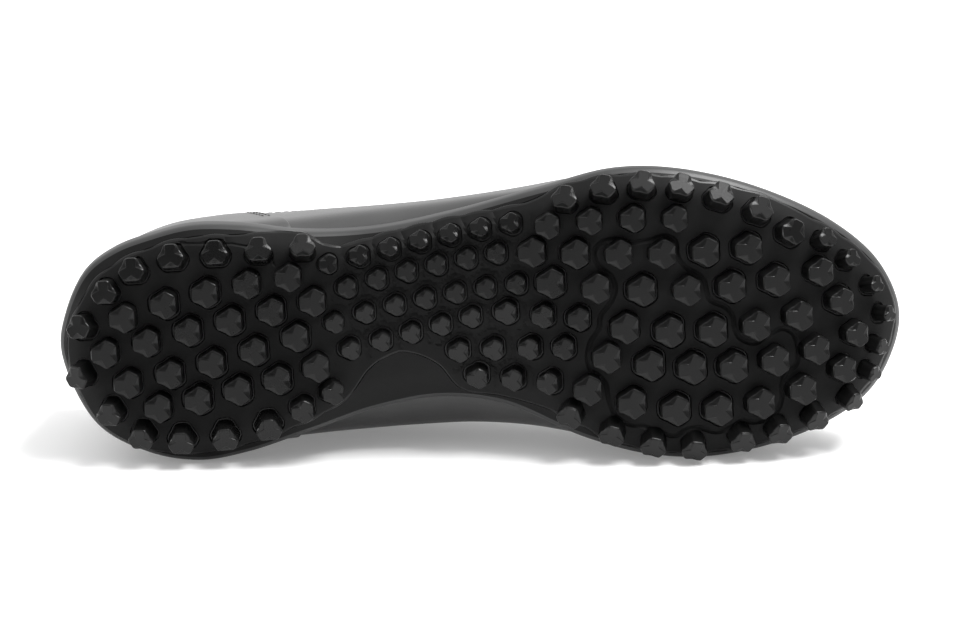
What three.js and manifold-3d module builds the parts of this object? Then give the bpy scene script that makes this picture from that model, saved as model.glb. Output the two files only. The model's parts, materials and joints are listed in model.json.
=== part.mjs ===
// A turf shoe for the right foot, in millimetres, lying on its inner side.
//
// The shoe is drawn in its own frame: x runs from the back of the heel to the toe,
// y towards the inner side of the foot and z up from the plane that the studs tread on.
// The last lines lay it down: toe to +X, studs towards -Y, outer side up.

import * as THREE from "three";
import Module from "manifold-3d";
import { ConvexHull } from "three/addons/math/ConvexHull.js";
import { mergeVertices } from "three/addons/utils/BufferGeometryUtils.js";

const wasm = await Module();
wasm.setup();
const { Manifold, Mesh: SolidMesh } = wasm;

// Driving sizes of the sole
const soleLength = 294;
const ballWidth = 102;
const springShare = 0.7075;
const springHeight = 15;
const studHeight = 6;
const waistStudHeight = 4.2;
const plateThickness = 2.4;
const plateStep = 0.7;
const plateBevel = 0.5;
const studToLength = 0.03402;
const studToWidth = 0.09804;
const lobeReach = 0.52;
const footReach = 0.57;
const lobeSwing = 22;
const footMargin = 1.6;
const toeTaper = 0.24;
const edgeCurl = 5;
const curlWidth = 11;
const waistRise = 1.8;
const archHollow = 4;
const waistBackShare = 0.2857;
const waistFrontShare = 0.6054;
const waistBlendShare = 0.0884;
const heelBedHeight = 19;
const foreBedHeight = 14;
const lipRise = 4.5;
const lipThickness = 2.6;
const sideBulge = 0.5;
const spineShare = 0.13;

// Places along the sole that follow its length
const springStart = soleLength * springShare;
const waistBack = soleLength * waistBackShare;
const waistFront = soleLength * waistFrontShare;
const waistBlend = soleLength * waistBlendShare;

// Driving sizes of the upper, the insole and the tongue
const instepHeight = 92;
const wall = 2;
const eyestayStep = 0.8;
const collarBack = 77;
const collarDip = 61;
const collarDipAt = 62;
const throatTop = 108;
const throatTopHeight = 91;
const throatEnd = 190;
const throatTopHalf = 16;
const throatOverrun = 30;
const throatEndHalf = 10.5;
const collarSteep = 6;
const eyestayWidth = 14;
const firstEyelet = 2;
const lastEyelet = 9;
const heelLean = 5;
const lastingMargin = 9;
const featherSharpness = 0.28;
const lipGrip = 1.2;
const insoleThickness = 3.6;
const tongueThickness = 3.6;
const tongueHalfWidth = 20.5;
const tongueEnd = 201;
const tongueTop = 92;
const tongueRise = 9;

// Driving sizes of the lacing
const eyeletPairs = 6;
const eyeletDiameter = 4.6;
const eyeletInset = 6.5;
const laceWidth = 6;
const laceThickness = 1.3;

// Clearances
const gap = 0.3;
const tongueClearance = 1.6;
const laceClearance = 1.65;

// Fineness of the curved forms
const aroundSole = 46;
const aroundSection = 24;
const curveSamples = 240;

// Rim of the sole, widest line of the side wall: shares of the length and the ball width
const rimTable = [
  { along: 0.0, out: 0.01 }, { along: 0.009, out: -0.127 }, { along: 0.036, out: -0.265 },
  { along: 0.071, out: -0.333 }, { along: 0.114, out: -0.373 }, { along: 0.162, out: -0.4 },
  { along: 0.219, out: -0.392 }, { along: 0.291, out: -0.358 }, { along: 0.376, out: -0.353 },
  { along: 0.471, out: -0.392 }, { along: 0.58, out: -0.461 }, { along: 0.662, out: -0.51 },
  { along: 0.733, out: -0.5 }, { along: 0.828, out: -0.422 }, { along: 0.923, out: -0.275 },
  { along: 0.978, out: -0.118 }, { along: 1.0, out: 0.059 }, { along: 0.985, out: 0.216 },
  { along: 0.951, out: 0.338 }, { along: 0.876, out: 0.441 }, { along: 0.77, out: 0.495 },
  { along: 0.689, out: 0.475 }, { along: 0.621, out: 0.412 }, { along: 0.519, out: 0.279 },
  { along: 0.444, out: 0.245 }, { along: 0.366, out: 0.275 }, { along: 0.287, out: 0.333 },
  { along: 0.213, out: 0.392 }, { along: 0.155, out: 0.412 }, { along: 0.094, out: 0.373 },
  { along: 0.036, out: 0.265 },
];

// Edge of the studded plate, which leaves the inner waist bare
const plateTable = [
  { along: 0.009, out: 0.01 }, { along: 0.022, out: -0.127 }, { along: 0.056, out: -0.255 },
  { along: 0.104, out: -0.324 }, { along: 0.162, out: -0.363 }, { along: 0.219, out: -0.363 },
  { along: 0.287, out: -0.358 }, { along: 0.332, out: -0.304 }, { along: 0.389, out: -0.333 },
  { along: 0.468, out: -0.377 }, { along: 0.553, out: -0.412 }, { along: 0.621, out: -0.48 },
  { along: 0.699, out: -0.49 }, { along: 0.774, out: -0.451 }, { along: 0.842, out: -0.392 },
  { along: 0.9, out: -0.294 }, { along: 0.954, out: -0.176 }, { along: 0.988, out: -0.039 },
  { along: 0.993, out: 0.078 }, { along: 0.974, out: 0.216 }, { along: 0.934, out: 0.343 },
  { along: 0.866, out: 0.43 }, { along: 0.77, out: 0.475 }, { along: 0.689, out: 0.456 },
  { along: 0.634, out: 0.397 }, { along: 0.587, out: 0.312 }, { along: 0.519, out: 0.25 },
  { along: 0.471, out: 0.216 }, { along: 0.444, out: 0.118 }, { along: 0.4, out: 0.069 },
  { along: 0.366, out: 0.118 }, { along: 0.336, out: 0.216 }, { along: 0.264, out: 0.314 },
  { along: 0.206, out: 0.363 }, { along: 0.145, out: 0.382 }, { along: 0.09, out: 0.353 },
  { along: 0.039, out: 0.255 },
];

// Widest line of the lasted upper, seen from above
const lastTable = [
  { along: 0.012, out: 0.01 }, { along: 0.022, out: -0.137 }, { along: 0.056, out: -0.27 },
  { along: 0.111, out: -0.345 }, { along: 0.179, out: -0.374 }, { along: 0.264, out: -0.382 },
  { along: 0.335, out: -0.392 }, { along: 0.447, out: -0.412 }, { along: 0.543, out: -0.441 },
  { along: 0.621, out: -0.471 }, { along: 0.689, out: -0.485 }, { along: 0.757, out: -0.461 },
  { along: 0.828, out: -0.397 }, { along: 0.906, out: -0.275 }, { along: 0.961, out: -0.118 },
  { along: 0.981, out: 0.059 }, { along: 0.968, out: 0.196 }, { along: 0.927, out: 0.314 },
  { along: 0.866, out: 0.407 }, { along: 0.774, out: 0.465 }, { along: 0.689, out: 0.45 },
  { along: 0.621, out: 0.424 }, { along: 0.553, out: 0.388 }, { along: 0.485, out: 0.37 },
  { along: 0.417, out: 0.372 }, { along: 0.325, out: 0.381 }, { along: 0.247, out: 0.384 },
  { along: 0.172, out: 0.366 }, { along: 0.104, out: 0.335 }, { along: 0.049, out: 0.245 },
];

// Sections of the last: top as a share of the instep height, crest as a share of the ball
// width, widest as a share of the section's own height, square as the crown's exponent
const sectionTable = [
  { along: 0.0, top: 1.09, crest: 0.0, widest: 0.3, square: 2.7 },
  { along: 0.15, top: 1.13, crest: 0.0, widest: 0.27, square: 2.6 },
  { along: 0.3, top: 1.12, crest: 0.01, widest: 0.25, square: 2.4 },
  { along: 0.37, top: 1.04, crest: 0.02, widest: 0.24, square: 2.2 },
  { along: 0.44, top: 0.935, crest: 0.03, widest: 0.24, square: 2.1 },
  { along: 0.51, top: 0.85, crest: 0.04, widest: 0.25, square: 2.05 },
  { along: 0.58, top: 0.766, crest: 0.05, widest: 0.28, square: 2.05 },
  { along: 0.65, top: 0.695, crest: 0.06, widest: 0.31, square: 2.15 },
  { along: 0.72, top: 0.635, crest: 0.07, widest: 0.34, square: 2.25 },
  { along: 0.79, top: 0.59, crest: 0.08, widest: 0.37, square: 2.3 },
  { along: 0.86, top: 0.557, crest: 0.08, widest: 0.4, square: 2.3 },
  { along: 0.92, top: 0.53, crest: 0.07, widest: 0.43, square: 2.3 },
  { along: 0.96, top: 0.49, crest: 0.06, widest: 0.45, square: 2.3 },
  { along: 0.982, top: 0.425, crest: 0.05, widest: 0.46, square: 2.2 },
];

// Stations of the last as shares of its length, closer at the two round ends
const stationTable = [
  0.0, 0.01, 0.035, 0.08, 0.14, 0.21, 0.28, 0.35, 0.42, 0.49, 0.56, 0.63, 0.7, 0.77, 0.83,
  0.88, 0.92, 0.952, 0.975, 0.99, 1.0,
];

// Lines of studs: first and last stud, how many, bow of the line outwards or inwards,
// size as a share of the largest stud's and turn of its lobes in degrees
const studRuns = [
  { from: [0.026, -0.088], to: [0.094, -0.275], studs: 3, bow: -0.02, size: 0.86, turn: 30 },
  { from: [0.141, -0.314], to: [0.296, -0.326], studs: 4, bow: 0, size: 0.88, turn: 30 },
  { from: [0.019, 0.088], to: [0.09, 0.314], studs: 3, bow: 0.02, size: 0.86, turn: 30 },
  { from: [0.138, 0.333], to: [0.243, 0.304], studs: 3, bow: 0.01, size: 0.88, turn: 30 },
  { from: [0.284, 0.245], to: [0.322, 0.19], studs: 2, bow: 0, size: 0.82, turn: 0 },
  { from: [0.08, -0.108], to: [0.277, -0.216], studs: 5, bow: -0.015, size: 0.94, turn: 0 },
  { from: [0.325, -0.255], to: [0.539, -0.363], studs: 7, bow: -0.012, size: 0.68, turn: 0 },
  { from: [0.583, -0.343], to: [0.733, -0.343], studs: 4, bow: -0.008, size: 0.88, turn: 0 },
  { from: [0.056, 0.01], to: [0.304, -0.127], studs: 6, bow: -0.005, size: 0.94, turn: 0 },
  { from: [0.345, -0.167], to: [0.522, -0.255], studs: 6, bow: -0.008, size: 0.68, turn: 0 },
  { from: [0.563, -0.255], to: [0.818, -0.225], studs: 6, bow: 0.01, size: 0.98, turn: 0 },
  { from: [0.08, 0.118], to: [0.281, -0.01], studs: 5, bow: 0.01, size: 0.94, turn: 0 },
  { from: [0.328, -0.049], to: [0.543, -0.147], studs: 7, bow: -0.015, size: 0.68, turn: 0 },
  { from: [0.583, -0.147], to: [0.903, -0.127], studs: 7, bow: 0.04, size: 1, turn: 0 },
  { from: [0.114, 0.206], to: [0.304, 0.098], studs: 5, bow: 0.01, size: 0.96, turn: 0 },
  { from: [0.345, 0.049], to: [0.488, -0.039], studs: 5, bow: 0, size: 0.7, turn: 0 },
  { from: [0.529, -0.049], to: [0.614, -0.02], studs: 3, bow: 0, size: 0.8, turn: 0 },
  { from: [0.668, 0.02], to: [0.927, -0.02], studs: 6, bow: 0.045, size: 1.02, turn: 0 },
  { from: [0.471, 0.078], to: [0.594, 0.078], studs: 4, bow: 0, size: 0.76, turn: 0 },
  { from: [0.645, 0.118], to: [0.944, 0.098], studs: 7, bow: 0.068, size: 1.02, turn: 0 },
  { from: [0.491, 0.176], to: [0.573, 0.196], studs: 3, bow: 0, size: 0.78, turn: 0 },
  { from: [0.621, 0.225], to: [0.927, 0.216], studs: 7, bow: 0.1, size: 1.02, turn: 0 },
  { from: [0.596, 0.318], to: [0.743, 0.461], studs: 4, bow: 0.03, size: 0.88, turn: 15 },
  { from: [0.801, 0.441], to: [0.938, 0.338], studs: 4, bow: 0.02, size: 0.88, turn: 15 },
  { from: [0.964, 0.245], to: [0.985, 0.039], studs: 3, bow: 0.01, size: 0.76, turn: 30 },
  { from: [0.971, -0.069], to: [0.913, -0.245], studs: 3, bow: -0.01, size: 0.76, turn: 30 },
  { from: [0.872, -0.275], to: [0.872, -0.275], studs: 1, bow: 0, size: 0.88, turn: 0 },
  { from: [0.835, -0.363], to: [0.604, -0.441], studs: 6, bow: -0.07, size: 0.88, turn: 15 },
];

// Width that the studs' sizes are shares of, so that a smaller sole keeps them apart
const studUnit = Math.min(soleLength * studToLength, ballWidth * studToWidth);

const clamp01 = (value) => Math.min(1, Math.max(0, value));
const mix = (a, b, t) => a + (b - a) * t;

function ease(low, high, value) {
  const t = clamp01((value - low) / (high - low));
  return t * t * (3 - 2 * t);
}

// Closed outline through a table's rows
function outlineOf(table, samples) {
  const points = table.map(
    ({ along, out }) => new THREE.Vector3(along * soleLength, out * ballWidth, 0),
  );
  const curve = new THREE.CatmullRomCurve3(points, true, "centripetal");
  return curve.getSpacedPoints(samples).slice(0, samples);
}

const rimLine = outlineOf(rimTable, curveSamples);
const plateLine = outlineOf(plateTable, curveSamples);
const lastLine = outlineOf(lastTable, curveSamples);
const lastBack = Math.min(...lastLine.map((point) => point.x));
const lastToe = Math.max(...lastLine.map((point) => point.x));

// Outer and inner edge of an outline at one place along the shoe
function spanAt(line, x) {
  let outer = Infinity;
  let inner = -Infinity;
  line.forEach((a, index) => {
    const b = line[(index + 1) % line.length];
    if ((a.x - x) * (b.x - x) <= 0 && a.x !== b.x) {
      const y = mix(a.y, b.y, (x - a.x) / (b.x - a.x));
      outer = Math.min(outer, y);
      inner = Math.max(inner, y);
    }
  });
  return { outer, inner };
}

// Distance in plan from a place to an outline
function edgeDistance(line, x, y) {
  let nearest = Infinity;
  line.forEach((a, index) => {
    const b = line[(index + 1) % line.length];
    const dx = b.x - a.x;
    const dy = b.y - a.y;
    const t = clamp01(((x - a.x) * dx + (y - a.y) * dy) / (dx * dx + dy * dy));
    nearest = Math.min(nearest, Math.hypot(x - a.x - t * dx, y - a.y - t * dy));
  });
  return nearest;
}

const toeSpring = (x) =>
  springHeight * Math.max(0, (x - springStart) / (soleLength - springStart)) ** 2;

const waistShare = (x) =>
  ease(waistBack, waistBack + waistBlend, x) * (1 - ease(waistFront - waistBlend, waistFront, x));

// Underside of the sole between the studs
function groundHeight(x, y) {
  const curl = edgeCurl * Math.max(0, 1 - edgeDistance(rimLine, x, y) / curlWidth) ** 2;
  const hollow = archHollow * ease(-0.14 * ballWidth, 0.28 * ballWidth, y);
  return studHeight + toeSpring(x) + waistShare(x) * (waistRise + hollow) + curl;
}

const bedHeight = (x) =>
  mix(heelBedHeight, foreBedHeight, ease(0.4 * soleLength, 0.72 * soleLength, x)) + toeSpring(x);

// Value of one column of the section table, on a smooth curve through its rows
function sectionValue(column, along) {
  const last = sectionTable.length - 1;
  const place = Math.min(Math.max(along, sectionTable[0].along), sectionTable[last].along);
  let row = sectionTable.findIndex((entry) => entry.along > place) - 1;
  if (row < 0) row = last - 1;
  const entry = (index) => sectionTable[Math.min(last, Math.max(0, index))];
  const slope = (index) => {
    const before = entry(index - 1);
    const after = entry(index + 1);
    return (after[column] - before[column]) / (after.along - before.along);
  };
  const a = entry(row);
  const b = entry(row + 1);
  const length = b.along - a.along;
  const t = (place - a.along) / length;
  return (
    a[column] * (1 + 2 * t) * (1 - t) ** 2 +
    b[column] * t * t * (3 - 2 * t) +
    length * t * (1 - t) * ((1 - t) * slope(row) - t * slope(row + 1))
  );
}

// Power of the corner curve that passes through a share of the width at a share of the drop
function cornerPower(width, drop) {
  let low = featherSharpness;
  let high = 1.6;
  for (let turn = 0; turn < 24; turn += 1) {
    const power = (low + high) / 2;
    const reached = width ** (2 / power) + drop ** (2 / power);
    if (reached > 1) high = power;
    else low = power;
  }
  return low;
}

// Power that brings the last's underside in to the lip of the sole on one side
function featherPower(side, section, x) {
  const lip = spanAt(rimLine, Math.min(Math.max(x, 1), soleLength - 1))[side];
  const reach = Math.abs(lip - section.crest) - lipGrip;
  const width = Math.min(0.999, reach / Math.abs(section[side] - section.crest));
  const drop = (section.widest - bedHeight(x) - lipRise) / (section.widest - section.floor);
  return 1 - width < 0.01 ? featherSharpness : cornerPower(width, drop);
}

// One section of the last, grown outwards by an offset
function sectionAt(x, offset) {
  const inside = Math.min(Math.max(x, lastBack + 0.4), lastToe - 0.4);
  const along = inside / soleLength;
  const { outer, inner } = spanAt(lastLine, inside);
  const floor = bedHeight(inside);
  const top = sectionValue("top", along) * instepHeight;
  const widest = mix(floor, top, sectionValue("widest", along));
  const crest = sectionValue("crest", along) * ballWidth + (outer + inner) * 0.1;
  const bare = { outer, inner, floor, crest, widest };
  return {
    outer: outer - offset,
    inner: inner + offset,
    floor: floor - offset,
    top: top + offset,
    crest,
    widest,
    square: sectionValue("square", along),
    outerPower: featherPower("outer", bare, inside),
    innerPower: featherPower("inner", bare, inside),
  };
}

// Height of the upper's outer skin above a place on the floor
function skinHeight(x, y, offset) {
  const section = sectionAt(x, offset);
  const edge = y < section.crest ? section.outer : section.inner;
  const share = Math.min(1, Math.abs((y - section.crest) / (edge - section.crest)));
  const crown = (1 - share ** section.square) ** (1 / section.square);
  return section.widest + (section.top - section.widest) * crown;
}

// Closed body from rings of equal count, with flat fans of triangles over both ends
function ringBody(rings) {
  const around = rings[0].length;
  const corners = rings.flat();
  const faces = [];
  for (let ring = 0; ring < rings.length - 1; ring += 1) {
    for (let i = 0; i < around; i += 1) {
      const j = (i + 1) % around;
      const a = ring * around;
      const b = a + around;
      faces.push([a + i, a + j, b + j], [a + i, b + j, b + i]);
    }
  }
  const lastRing = (rings.length - 1) * around;
  for (const [a, b, c] of capOf(rings[0])) faces.push([a, c, b]);
  for (const [a, b, c] of capOf(rings[rings.length - 1])) {
    faces.push([lastRing + a, lastRing + b, lastRing + c]);
  }
  return solidOf(corners, faces);
}

// Triangles over one ring, wound as the ring runs
function capOf(ring) {
  const facing = ring.reduce((sum, point, index) => {
    const next = ring[(index + 1) % ring.length];
    return sum.add(new THREE.Vector3().crossVectors(point, next));
  }, new THREE.Vector3());
  const thin = ["x", "y", "z"].reduce((a, b) => (Math.abs(facing[a]) >= Math.abs(facing[b]) ? a : b));
  const [u, v] = ["x", "y", "z"].filter((axis) => axis !== thin);
  const flat = ring.map((point) => new THREE.Vector2(point[u], point[v]));
  const turn = Math.sign(THREE.ShapeUtils.area(flat));
  return THREE.ShapeUtils.triangulateShape(flat, []).map(([a, b, c]) => {
    const sense = Math.sign(THREE.ShapeUtils.area([flat[a], flat[b], flat[c]]));
    return sense === turn ? [a, b, c] : [a, c, b];
  });
}

// Manifold solid with its faces pointing out
function solidOf(corners, faces) {
  const volume = faces.reduce((sum, [a, b, c]) => {
    const across = new THREE.Vector3().crossVectors(corners[b], corners[c]);
    return sum + corners[a].dot(across);
  }, 0);
  const outward = volume > 0 ? faces : faces.map(([a, b, c]) => [a, c, b]);
  const vertProperties = new Float32Array(corners.flatMap((point) => point.toArray()));
  const triVerts = new Uint32Array(outward.flat());
  return new Manifold(new SolidMesh({ numProp: 3, vertProperties, triVerts }));
}

// Manifold solid of a three.js geometry
function solidFrom(geometry) {
  geometry.deleteAttribute("normal");
  geometry.deleteAttribute("uv");
  const merged = mergeVertices(geometry, 1e-4);
  const vertProperties = new Float32Array(merged.attributes.position.array);
  const triVerts = new Uint32Array(merged.index.array);
  return new Manifold(new SolidMesh({ numProp: 3, vertProperties, triVerts }));
}

function geometryOf(solid) {
  const mesh = solid.getMesh();
  const geometry = new THREE.BufferGeometry();
  const positions = new Float32Array(mesh.vertProperties);
  geometry.setAttribute("position", new THREE.BufferAttribute(positions, 3));
  geometry.setIndex(new THREE.BufferAttribute(new Uint32Array(mesh.triVerts), 1));
  geometry.computeVertexNormals();
  return geometry;
}

// Nearest place of the line that the rings of a flat body shrink towards
function spinePoint(point) {
  const inset = spineShare * soleLength;
  const x = Math.min(Math.max(point.x, inset), soleLength - inset);
  const { outer, inner } = spanAt(rimLine, x);
  return new THREE.Vector3(x, (outer + inner) / 2, 0);
}

// Ring inside an outline: share 1 is the outline itself, height gives each point's z
function shrunkRing(line, share, height) {
  return line.map((point) => {
    const middle = spinePoint(point);
    const place = middle.lerp(point, share);
    return new THREE.Vector3(place.x, place.y, height(place.x, place.y));
  });
}

// Ring moved outwards from an outline by a real distance
function offsetRing(line, distance, height) {
  return line.map((point, index) => {
    const before = line[(index + line.length - 1) % line.length];
    const after = line[(index + 1) % line.length];
    const out = new THREE.Vector3(after.y - before.y, before.x - after.x, 0).normalize();
    const sense = out.dot(new THREE.Vector3().subVectors(point, spinePoint(point))) < 0 ? -1 : 1;
    const place = point.clone().addScaledVector(out, sense * distance);
    return new THREE.Vector3(place.x, place.y, height(place.x, place.y));
  });
}

const onPlate = (x, y) => {
  const { outer, inner } = spanAt(plateLine, x);
  return y > outer && y < inner && edgeDistance(plateLine, x, y) > footMargin;
};

// Corner of a stud's foot on the plate, drawn in towards the stud until it is inside the edge
function seatFoot(corner, base) {
  const pull = 0.06;
  for (let share = 0; share < 1 && !onPlate(corner.x, corner.y); share += pull) {
    corner.lerp(base, pull);
  }
  corner.z = groundHeight(corner.x, corner.y);
}

// Foot and top of one three-lobed stud, as rings that run the same way round
function studRings({ x, y, size, turn }) {
  const step = 0.5;
  const slopeX = (groundHeight(x + step, y) - groundHeight(x - step, y)) / (2 * step);
  const slopeY = (groundHeight(x, y + step) - groundHeight(x, y - step)) / (2 * step);
  const down = new THREE.Vector3(slopeX, slopeY, -1).normalize();
  const height = mix(studHeight, waistStudHeight, waistShare(x));
  const base = new THREE.Vector3(x - down.x * height, y - down.y * height, 0);
  base.z = groundHeight(base.x, base.y);
  const forward = new THREE.Vector3(1, 0, 0).addScaledVector(down, -down.x).normalize();
  const side = new THREE.Vector3().crossVectors(forward, down);
  const ringAt = (rise, reach) =>
    [0, 1, 2].flatMap((lobe) =>
      [-lobeSwing, lobeSwing].map((swing) => {
        const angle = THREE.MathUtils.degToRad(60 + 120 * lobe - turn + swing);
        const corner = base.clone().addScaledVector(down, rise);
        corner.addScaledVector(forward, Math.cos(angle) * reach * size);
        return corner.addScaledVector(side, Math.sin(angle) * reach * size);
      }),
    );
  const foot = ringAt(0, footReach);
  foot.forEach((corner) => seatFoot(corner, base));
  return { foot, top: ringAt(height, lobeReach) };
}

function studPlaces() {
  return studRuns.flatMap(({ from, to, studs, bow, size, turn }) =>
    Array.from({ length: studs }, (_, index) => {
      const t = studs > 1 ? index / (studs - 1) : 0;
      const along = mix(from[0], to[0], t);
      const out = mix(from[1], to[1], t) + 4 * t * (1 - t) * bow;
      const taper = 1 - toeTaper * ease(0.86, 1, along);
      return { x: along * soleLength, y: out * ballWidth, size: size * studUnit * taper, turn };
    }),
  );
}

const isAnticlockwise = (ring) => THREE.ShapeUtils.area(ring) > 0;

// Rings of the studded plate from its lower edge up, grown sideways and upwards
function plateRings(line, grow) {
  const upper = (x, y) => groundHeight(x, y) + plateThickness + grow;
  return [
    offsetRing(line, grow, (x, y) => groundHeight(x, y) + plateBevel),
    offsetRing(line, grow - plateBevel, upper),
    shrunkRing(line, 0.8, upper),
    shrunkRing(line, 0.3, upper),
  ];
}

// Plate and studs in one skin: the underside is a sheet with a hole at every stud's foot
function makeOutsole() {
  const drawn = outlineOf(plateTable, aroundSole);
  const line = isAnticlockwise(drawn) ? drawn : drawn.reverse();
  const corners = [];
  const faces = [];
  const addRing = (ring) => corners.push(...ring) - ring.length;
  const joinRings = (a, b, count) => {
    for (let i = 0; i < count; i += 1) {
      const j = (i + 1) % count;
      faces.push([a + i, a + j, b + j], [a + i, b + j, b + i]);
    }
  };
  const edge = offsetRing(line, -plateBevel, groundHeight);
  const studs = studPlaces().map(studRings);
  for (const stud of studs) {
    if (!isAnticlockwise(stud.foot)) {
      stud.foot.reverse();
      stud.top.reverse();
    }
  }
  addRing(edge);
  for (const { foot } of studs) addRing(foot);
  const sheet = THREE.ShapeUtils.triangulateShape([...edge], studs.map(({ foot }) => [...foot]));
  for (const [a, b, c] of sheet) {
    const anticlockwise = isAnticlockwise([corners[a], corners[b], corners[c]]);
    faces.push(anticlockwise ? [a, c, b] : [a, b, c]);
  }
  studs.forEach(({ top }, index) => {
    const footStart = edge.length + index * top.length;
    const topStart = addRing(top);
    joinRings(topStart, footStart, top.length);
    for (const [a, b, c] of capOf(top)) faces.push([topStart + a, topStart + c, topStart + b]);
  });
  let below = 0;
  let above = 0;
  for (const ring of plateRings(line, 0)) {
    above = addRing(ring);
    joinRings(below, above, line.length);
    below = above;
  }
  const lid = capOf(corners.slice(above, above + line.length));
  for (const [a, b, c] of lid) faces.push([above + a, above + b, above + c]);
  return solidOf(corners, faces);
}

// Room that the midsole leaves for the plate
function plateSeat() {
  const line = outlineOf(plateTable, aroundSole);
  const below = offsetRing(line, gap, () => -studHeight);
  return ringBody([below, ...plateRings(line, gap)]);
}

function makeMidsole(outsole) {
  const line = outlineOf(rimTable, aroundSole);
  const under = (x, y) => groundHeight(x, y) + plateStep;
  const lip = (x) => bedHeight(x) + lipRise;
  const wallAt = (share) => (x, y) => mix(under(x, y), lip(x), share);
  const body = ringBody([
    shrunkRing(line, 0.5, under),
    shrunkRing(line, 0.84, under),
    offsetRing(line, -4 * sideBulge, under),
    offsetRing(line, -0.4 * sideBulge, wallAt(0.12)),
    offsetRing(line, sideBulge, wallAt(0.45)),
    offsetRing(line, 0.2 * sideBulge, wallAt(0.85)),
    offsetRing(line, -1.4 * sideBulge, lip),
    offsetRing(line, -lipThickness, lip),
    shrunkRing(line, 0.6, lip),
  ]);
  return body.subtract(lastBody(gap)).subtract(plateSeat()).subtract(outsole);
}

// Lean of the back of the heel towards the foot
function leanAt(x, z) {
  const fade = Math.max(0, 1 - x / (0.25 * soleLength));
  return heelLean * ease(0.35 * instepHeight, instepHeight, z) * fade;
}

// Whole closed form of the last, grown outwards by an offset
function lastBody(offset) {
  const middle = (lastBack + lastToe) / 2;
  const rings = stationTable.map((share) => {
    const x = mix(lastBack + 0.4, lastToe - 0.4, share);
    const grown = x + (offset * (x - middle)) / (lastToe - middle);
    const section = sectionAt(x, offset);
    return Array.from({ length: aroundSection }, (_, index) => {
      const angle = (2 * Math.PI * index) / aroundSection;
      const under = Math.cos(angle) < 0 ? section.outerPower : section.innerPower;
      const power = Math.sin(angle) >= 0 ? 2 / section.square : under;
      const across = Math.sign(Math.cos(angle)) * Math.abs(Math.cos(angle)) ** power;
      const rise = Math.abs(Math.sin(angle)) ** power;
      const edge = across < 0 ? section.crest - section.outer : section.inner - section.crest;
      const y = section.crest + across * edge;
      const reach = Math.sin(angle) >= 0 ? section.top : section.floor;
      const z = mix(section.widest, reach, rise);
      return new THREE.Vector3(grown + leanAt(grown, z), y, z);
    });
  });
  return ringBody(rings);
}

// Body standing on a plan outline between two heights
function planBody(shape, low, high) {
  const options = { depth: high - low, bevelEnabled: false, curveSegments: 4, steps: 1 };
  return solidFrom(new THREE.ExtrudeGeometry(shape, options).translate(0, 0, low));
}

// Plan outline of the throat, wider by a margin
function throatShape(margin) {
  const centre = (x) => sectionAt(x, 0).crest;
  const half = throatEndHalf + margin;
  const back = throatTop - throatOverrun;
  const shape = new THREE.Shape();
  shape.moveTo(back, centre(throatTop) - throatTopHalf - margin);
  shape.lineTo(throatTop, centre(throatTop) - throatTopHalf - margin);
  shape.lineTo(throatEnd, centre(throatEnd) - half);
  shape.absellipse(throatEnd, centre(throatEnd), half, half, -Math.PI / 2, Math.PI / 2, false);
  shape.lineTo(throatTop, centre(throatTop) + throatTopHalf + margin);
  shape.lineTo(back, centre(throatTop) + throatTopHalf + margin);
  return shape;
}

// Everything above the collar line, as seen from the side
function collarCutter() {
  const reach = 2 * instepHeight;
  const shape = new THREE.Shape();
  shape.moveTo(-0.2 * soleLength, collarBack);
  shape.lineTo(0, collarBack);
  shape.splineThru([
    new THREE.Vector2(0.08 * soleLength, mix(collarDip, collarBack, 0.72)),
    new THREE.Vector2(collarDipAt, collarDip),
    new THREE.Vector2(mix(collarDipAt, throatTop, 0.6), mix(collarDip, throatTopHeight, 0.42)),
    new THREE.Vector2(throatTop, throatTopHeight),
  ]);
  shape.lineTo(throatTop + collarSteep, reach);
  shape.lineTo(-0.2 * soleLength, reach);
  const options = { depth: 2 * ballWidth, bevelEnabled: false, curveSegments: 7, steps: 1 };
  const geometry = new THREE.ExtrudeGeometry(shape, options);
  return solidFrom(geometry.rotateX(Math.PI / 2).translate(0, ballWidth, 0));
}

// Round posts that cut the eyelets, with a side to tell them apart
function eyeletPlaces() {
  return Array.from({ length: eyeletPairs }, (_, index) => {
    const t = index / (eyeletPairs - 1);
    const x = mix(throatEnd - firstEyelet, throatTop + lastEyelet, t);
    const slot = mix(throatEndHalf, throatTopHalf, clamp01((throatEnd - x) / (throatEnd - throatTop)));
    const middle = sectionAt(x, 0).crest;
    return { x, outer: middle - slot - eyeletInset, inner: middle + slot + eyeletInset };
  });
}

function makeUpper() {
  const throatFloor = 0.45 * instepHeight;
  const reach = 2 * instepHeight;
  const eyestay = planBody(throatShape(eyestayWidth), throatFloor, reach);
  const outside = lastBody(0).add(lastBody(eyestayStep).intersect(eyestay));
  const marginShare = 1 - (2 * lastingMargin) / ballWidth;
  const line = outlineOf(lastTable, aroundSole);
  const window = ringBody([
    shrunkRing(line, marginShare, () => 0),
    shrunkRing(line, marginShare, (x) => bedHeight(x) + 2 * wall),
  ]);
  const shell = outside
    .subtract(lastBody(-wall))
    .subtract(window)
    .subtract(collarCutter())
    .subtract(planBody(throatShape(0), throatFloor, reach));
  return eyeletPlaces().reduce((upper, { x, outer, inner }) => {
    const holes = [outer, inner].map((y) => {
      const shape = new THREE.Shape();
      shape.absarc(x, y, eyeletDiameter / 2, 0, 2 * Math.PI, false);
      return planBody(shape, throatFloor, reach);
    });
    return holes.reduce((body, hole) => body.subtract(hole), upper);
  }, shell);
}

// The insole fills the bottom of the last's inside up to its thickness
function makeInsole() {
  const line = outlineOf(rimTable, aroundSole);
  const high = (x) => bedHeight(x) + wall + gap + insoleThickness;
  const slab = ringBody([
    offsetRing(line, lastingMargin, () => 0),
    offsetRing(line, lastingMargin, high),
    shrunkRing(line, 0.5, high),
  ]);
  return lastBody(-wall - gap).intersect(slab);
}

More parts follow.
